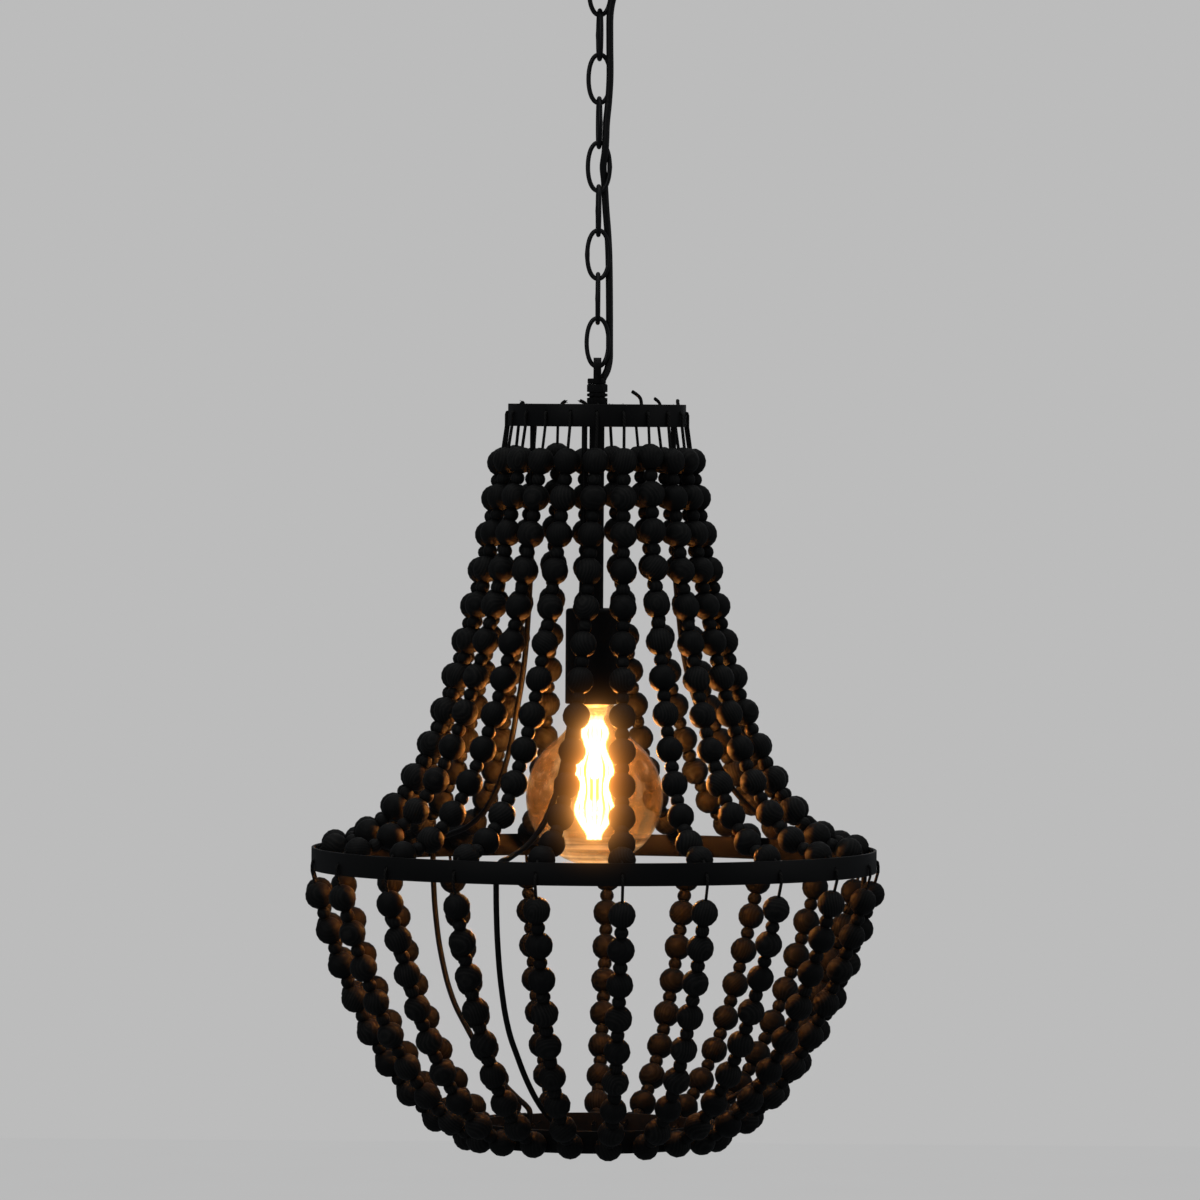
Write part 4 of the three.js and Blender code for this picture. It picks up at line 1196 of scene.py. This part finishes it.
# One wire runs down and up in turn round the stem, with a small loop at each end.
def addFilament():
    k = bulbLook
    wires = 2 * k["turns"] + 2
    points = []
    for i in range(wires):
        down = i % 2 == 0
        swell = k["swell"] if down else k["swell"][::-1]
        points += [around(radius * mm, i * 360 / wires, height * mm) for radius, height in swell]
        if i < wires - 1:
            radius, height = swell[-1]
            turn = -k["loopRise"] if down else k["loopRise"]
            points.append(around(radius * mm, (i + 0.5) * 360 / wires, (height + turn) * mm))
    wire = bentRod(points, k["wireRadius"] * mm, 3, 1)
    settle(smooth(wire, 50), "filamentCage", "bulb", "filament_wire", "filament")


def addBulbLight():
    k = bulbLook
    bpy.ops.object.light_add(type="POINT", location=(0, 0, k["lightMiddle"] * mm))
    lamp = bpy.context.object
    lamp.name = "bulbLight"
    lamp.data.energy = k["light"]
    lamp.data.color = k["lightColour"]
    lamp.data.shadow_soft_size = k["lightRadius"] * mm
    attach(lamp, "bulb")


addGlobe()
addCap()
addGlassStem()
addFilament()
addBulbLight()
print("stage: bulb")


# ---- strands of beads
strandLook = {
    "count": 21, "seed": 399, "twist": -11.5, "bottomTurn": 2, "string": 1.1, "clear": 0.3,
    "largeRadius": 9.5, "largeLength": 17.8, "smallRadius": 5.0, "smallLength": 7.6,
    "largeFacets": (14, 8), "smallFacets": (10, 7),
    "upperBeads": 13, "lowerBeads": 9, "play": 0.8, "edgeInset": 2.6, "edgeRise": 0.9,
    "bottomSag": 5, "upperHang": 48.4, "lowerHang": 69,
    "ringTop": 61.7, "ringHoop": 196, "ringBottom": 78, "wall": 2, "band": 15.5,
    "topHole": -360.34, "topEdge": -370.44, "hoopMiddle": -670.44, "bottomMiddle": -860.74,
    "knot": 1.35, "hoopKnot": 1.3, "knotString": 0.82, "tail": 0.85, "longTail": 1.25, "fibre": 0.36,
    "wave": 0.6, "longWave": 2.4,
    # how much chance changes the hang, the pitch, the lean and the sizes of the beads
    "upperHangSpread": 0.25, "lowerHangSpread": 1.6, "upperPitchSpread": 0.0035, "lowerPitchSpread": 0.004,
    "leanSpread": 0.05, "largeSizes": (0.98, 1.012), "smallSizes": (0.97, 1.03),
    # string ends that stand above the top ring: strand number, rise, lean to its side
    "tails": {
        3: (14.5, -7.0), 4: (9.6, -5.0), 6: (8.5, 2.0), 12: (7.8, 2.5), 13: (7.4, -1.5), 18: (6.4, 1.0),
    },
    # strands that hang lower than the rest under the hoop, and one whose top bead sits higher
    "slack": {2: -6.5, 3: -5.5},
    "stretch": {3: 1.012},
}


# A slack string is a catenary: its length, and its place and direction at any length along it.
def hangingString(start, end, hang):
    level = Vector((end.x - start.x, end.y - start.y, 0))
    span = level.length
    level.normalize()
    rise = end.z - start.z
    lowest = span / 2 - hang * math.asinh(rise / (2 * hang * math.sinh(span / (2 * hang))))
    startSlope = math.sinh(-lowest / hang)
    total = hang * (math.sinh((span - lowest) / hang) - startSlope)

    def at(length):
        slope = startSlope + length / hang
        point = Vector((start.x, start.y, 0)) + level * (lowest + hang * math.asinh(slope))
        point.z = start.z + hang * (math.sqrt(1 + slope * slope) - math.sqrt(1 + startSlope * startSlope))
        along = level.copy()
        along.z = slope
        return point, along.normalized()

    return total, at


# A bead is a ball cut flat at the two ends of its drilled hole.
def makeBead(radius, length, segments, rings):
    bpy.ops.mesh.primitive_uv_sphere_add(segments=segments, ring_count=rings, radius=radius * mm)
    bead = bpy.context.object
    bpy.ops.object.mode_set(mode="EDIT")
    for side in (-1, 1):
        bpy.ops.mesh.select_all(action="SELECT")
        bpy.ops.mesh.bisect(
            plane_co=(0, 0, side * length / 2 * mm), plane_no=(0, 0, side), use_fill=True, clear_outer=True,
        )
    bpy.ops.object.mode_set(mode="OBJECT")
    bead.data.attributes.new("grainPlace", "FLOAT_VECTOR", "POINT")
    bead.data.attributes.new("beadTone", "FLOAT", "POINT")
    bead.data.materials.append(stainedWood)
    return smooth(bead, 40)


def placeBead(bead, point, along, scale, chance):
    copy = copyPiece(bead)
    spun = Quaternion((0, 0, 1), chance.uniform(0, 6.28))
    grainTurn = spun @ Quaternion((1, 0, 0), chance.gauss(0, 0.35))
    offset = Vector((chance.uniform(4, 22), chance.uniform(-3, 3), chance.uniform(-40, 40)))
    values = []
    for vertex in copy.data.vertices:
        values += list(grainTurn @ (vertex.co / mm) + offset)
    tone = chance.random() ** 1.6
    copy.data.attributes["grainPlace"].data.foreach_set("vector", values)
    copy.data.attributes["beadTone"].data.foreach_set("value", [tone] * len(copy.data.vertices))
    turn = along.to_track_quat("Z", "Y") @ Quaternion((0, 0, 1), chance.uniform(0, 6.28))
    copy.data.transform(Matrix.Translation(point) @ turn.to_matrix().to_4x4() @ Matrix.Scale(scale, 4))
    return copy


# Stacks the beads of one run up from the lower end of their string, and says where the first starts.
def stackBeads(total, at, count, large, small, stretch, chance):
    k = strandLook
    pitch = (k["largeLength"] + k["smallLength"]) * stretch
    last = total - k["play"] - k["largeLength"] / 2
    beads = []
    for number in range(count):
        point, along = at(last - number * pitch)
        lean = Vector((chance.gauss(0, k["leanSpread"]), chance.gauss(0, k["leanSpread"]), 0))
        size = chance.uniform(*k["largeSizes"])
        beads.append(placeBead(large, point * mm, (along + lean).normalized(), size, chance))
        if number < count - 1:
            point, along = at(last - (number + 0.5) * pitch)
            beads.append(placeBead(small, point * mm, along, chance.uniform(*k["smallSizes"]), chance))
    return beads, last - (count - 1) * pitch - k["largeLength"] / 2


# Places along a hanging string: close together where it is bare, and in even steps under the beads.
def drawnPlaces(total, at, first, ends):
    lengths = [first * i / 3 for i in range(4)]
    length = first + 5
    while length < total - 9:
        lengths.append(length)
        length += 7
    return [at(length)[0] for length in sorted({*lengths, *[total - end for end in ends]})]


# An overhand knot pulled up on itself, round the line that runs out of its hole.
def knotLine(place, out, size, chance):
    turn = out.to_track_quat("Z", "Y") @ Quaternion((0, 0, 1), chance.uniform(0, 6.28))
    points = []
    for step in range(29):
        t = 2 * math.pi * step / 28
        local = Vector((
            math.sin(t) + 2 * math.sin(2 * t), math.cos(t) - 2 * math.cos(2 * t), -1.1 * math.sin(3 * t),
        ))
        points.append(place + turn @ local * (size * mm / 3))
    return points


# The cut end of a string: it stands up or hangs from its knot, leans to a side and frays.
def tailLine(place, direction, length, lean, wave, chance):
    side = direction.cross(Vector((0, 0, 1)))
    side = side.normalized() if side.length > 0.05 else Vector((1, 0, 0))
    curl = chance.uniform(0.5, 1.0) * wave * chance.choice((-1, 1))
    line = []
    for step in range(10):
        t = step / 9
        sway = lean * t * t + curl * math.sin(2.2 * math.pi * t) * t
        line.append(place + (direction * length * t + side * sway) * mm)
    return line


def frayedEnds(line, chance):
    ahead = (line[-1] - line[-2]).normalized()
    fibres = []
    for _ in range(9):
        fan = Vector((chance.gauss(0, 0.3), chance.gauss(0, 0.3), chance.gauss(0, 0.3)))
        base = line[-2].lerp(line[-1], chance.uniform(0.2, 0.9)) + fan * (1.2 * mm)
        reach = chance.uniform(0.28, 0.5) * mm
        fibres.append([base + (ahead * t + fan * (t * t / 2)) * reach for t in range(4)])
    return fibres


def addStrand(number, large, small):
    k = strandLook
    chance = random.Random(k["seed"] + number)
    top, hoop, bottom, wall = k["ringTop"], k["ringHoop"], k["ringBottom"], k["wall"]
    hole, middle, low = k["topHole"], k["hoopMiddle"], k["bottomMiddle"]
    topAngle = (number - 1) * 360 / k["count"]
    hoopAngle = topAngle + k["twist"]
    bottomAngle = hoopAngle + k["bottomTurn"]
    outside, half = k["string"] + k["clear"], k["band"] / 2
    upperStart = around(top + outside, topAngle, k["topEdge"])
    upperEnd = around(hoop - wall - k["edgeInset"], hoopAngle, middle + half + k["edgeRise"])
    lowerStart = around(hoop + outside, hoopAngle, middle - half)
    lowerEnd = around(bottom + outside, bottomAngle, low - k["bottomSag"])
    upperHang = k["upperHang"] + chance.gauss(0, k["upperHangSpread"])
    lowerHang = k["lowerHang"] + k["slack"].get(number, chance.gauss(0, k["lowerHangSpread"]))
    upper = hangingString(upperStart, upperEnd, upperHang)
    lower = hangingString(lowerStart, lowerEnd, lowerHang)
    upperStretch = k["stretch"].get(number, 1 + chance.gauss(0, k["upperPitchSpread"]))
    lowerStretch = 1 + chance.gauss(0, k["lowerPitchSpread"])
    upperBeads, upperFirst = stackBeads(*upper, k["upperBeads"], large, small, upperStretch, chance)
    lowerBeads, lowerFirst = stackBeads(*lower, k["lowerBeads"], large, small, lowerStretch, chance)

    # out of the top ring's hole, down its face, over the hoop's edge and out of its hole, and down to
    # the hole of the bottom ring
    line = [around(top + out, topAngle, hole + rise) for out, rise in (
        (-4.4, 0), (-1, 0), (0.9, -0.5), (outside, -2.2),
    )]
    line += drawnPlaces(*upper, upperFirst, (9, 4, 1))
    line += [around(hoop + out, hoopAngle, middle + rise) for out, rise in (
        (-wall - 1.5, 6.2), (-wall - 1.2, 2.2), (-1, 0), (1.0, -1.2), (outside, -4),
    )]
    line += drawnPlaces(*lower, lowerFirst, (6, 0))
    line += [around(bottom + out, bottomAngle, low + rise) for out, rise in (
        (outside, -2), (0.6, 0), (-4.4, 0),
    )]
    tubes = [cordTube("string", [[p * mm for p in line]], k["string"] * mm)]

    outward, lowOutward, hoopOutward = around(1, topAngle), around(1, bottomAngle), around(1, hoopAngle)
    knot = around((top - 4.6) * mm, topAngle, hole * mm)
    lowKnot = around((bottom - 4.6) * mm, bottomAngle, low * mm)
    hoopKnot = around((hoop - wall - 1.3) * mm, hoopAngle, middle * mm)
    rise, lean = k["tails"].get(number, (chance.uniform(2.5, 4.5), chance.uniform(-2, 2)))
    long = number in k["tails"]
    standing = (Vector((0, 0, 1)) - outward * 0.18).normalized()
    upTail = tailLine(knot, standing, rise, lean, k["longWave" if long else "wave"], chance)
    hanging = Vector((chance.gauss(0, 0.4), chance.gauss(0, 0.4), chance.choice((-1, 0.6))))
    hanging = (hanging - lowOutward * 0.8).normalized()
    rise, lean = chance.uniform(3, 5.5), chance.uniform(-1.5, 1.5)
    lowTail = tailLine(lowKnot, hanging, rise, lean, k["wave"], chance)
    knots = [
        knotLine(knot, outward, k["knot"], chance), knotLine(lowKnot, lowOutward, k["knot"], chance),
        knotLine(hoopKnot, hoopOutward, k["hoopKnot"], chance),
    ]
    tubes.append(cordTube("knots", [*knots, lowTail], k["knotString"] * mm))
    tubes.append(cordTube("tail", [upTail], k["longTail" if long else "tail"] * mm))
    fibres = frayedEnds(upTail, chance) + frayedEnds(lowTail, chance)
    tubes.append(cordTube("fibres", fibres, k["fibre"] * mm, 0, lambda t: 1 - 0.6 * t))
    for tube in tubes:
        tube.data.materials.append(twine)
    name = f"beadStrand{number:02d}"
    strand = joinPieces(name, [*upperBeads, *lowerBeads, *tubes])
    settle(strand, name, "chandelier", "stained_wood", f"strand_{number:02d}")


largeBead = makeBead(strandLook["largeRadius"], strandLook["largeLength"], *strandLook["largeFacets"])
smallBead = makeBead(strandLook["smallRadius"], strandLook["smallLength"], *strandLook["smallFacets"])
for strandNumber in range(1, strandLook["count"] + 1):
    addStrand(strandNumber, largeBead, smallBead)
bpy.data.objects.remove(largeBead)
bpy.data.objects.remove(smallBead)
print("stage: strands")


# ---- floor, light and backdrop
# each light: its place in metres, power, size and the point that it faces
studioLook = {
    "floorHeight": -9000, "floorHalf": 160000, "floorColour": 0.16, "floorGlow": 0.475,
    "backdrop": 0.503, "fill": (0.068, 0.073, 0.078),
    "lights": {
        "keyLight": ((-2.2, -3.2, 1.0), 12, 2.4, (0, 0, -0.6)),
        "rightLight": ((3.2, -0.6, 0.2), 5, 2.0, (0, 0, -0.6)),
        "backLight": ((0.6, 3.4, 0.6), 5, 2.4, (0, 0, -0.6)),
        "overheadLight": ((0, 0, 2.4), 24, 3.6, (0, 0, -1.5)),
    },
}


# The floor glows as pale as the backdrop, so that no edge shows where they meet.
def addFloor():
    k = studioLook
    bpy.ops.mesh.primitive_grid_add(
        x_subdivisions=8, y_subdivisions=8, size=2 * k["floorHalf"] * mm,
        location=(0, 0, k["floorHeight"] * mm),
    )
    floor = bpy.context.object
    floor.name = "studioFloor"
    material, w = newMaterial(
        "paleFloor", Specular_IOR_Level=0.0, Emission_Strength=1.0, Roughness=0.9,
        Base_Color=grey(k["floorColour"]),
    )
    pale = k["floorGlow"]
    glow = mixColours(w, noise(w, objectPlace(w), 0.7, 2), grey(pale), grey(pale * 1.02))
    floor.data.materials.append(finish(material, Emission_Color=glow))
    floor.visible_diffuse = False
    floor.visible_glossy = False


def addLights():
    for name, (place, power, size, aim) in studioLook["lights"].items():
        bpy.ops.object.light_add(type="AREA", location=place)
        light = bpy.context.object
        light.name = name
        light.data.energy = power
        light.data.size = size
        light.rotation_mode = "QUATERNION"
        light.rotation_quaternion = (Vector(aim) - Vector(place)).to_track_quat("-Z", "Y")
        light.visible_camera = False


# The camera sees a pale backdrop, and the object gets a dimmer fill.
def addWorld():
    world = bpy.data.worlds.new("studioWorld")
    bpy.context.scene.world = world
    world.use_nodes = True
    tree = world.node_tree
    tree.nodes.clear()
    w = Wire(tree)
    seen = w.node("ShaderNodeLightPath", output="Is Camera Ray")
    fill = w.node("ShaderNodeBackground", None, {"Color": opaque(studioLook["fill"]), "Strength": 1.0})
    back = w.node("ShaderNodeBackground", None, {"Color": grey(studioLook["backdrop"]), "Strength": 1.0})
    both = w.node("ShaderNodeMixShader", None, {0: seen, 1: fill, 2: back})
    output = tree.nodes.new("ShaderNodeOutputWorld")
    tree.links.new(both.socket, output.inputs["Surface"])
    bpy.context.scene.view_settings.view_transform = "Standard"


# A lens glow round the bright filament, as in the photograph.
glowLook = {"Threshold": 1.2, "Clamp": True, "Maximum": 12.0, "Strength": 0.42, "Size": 0.03}


def addGlow():
    scene = bpy.context.scene
    scene.use_nodes = True
    tree = scene.node_tree
    tree.nodes.clear()
    layers = tree.nodes.new("CompositorNodeRLayers")
    glare = tree.nodes.new("CompositorNodeGlare")
    glare.glare_type = "BLOOM"
    for key, value in glowLook.items():
        glare.inputs[key].default_value = value
    output = tree.nodes.new("CompositorNodeComposite")
    tree.links.new(layers.outputs["Image"], glare.inputs["Image"])
    tree.links.new(glare.outputs["Image"], output.inputs["Image"])


addFloor()
addLights()
addWorld()
addGlow()
print("stage: studio")
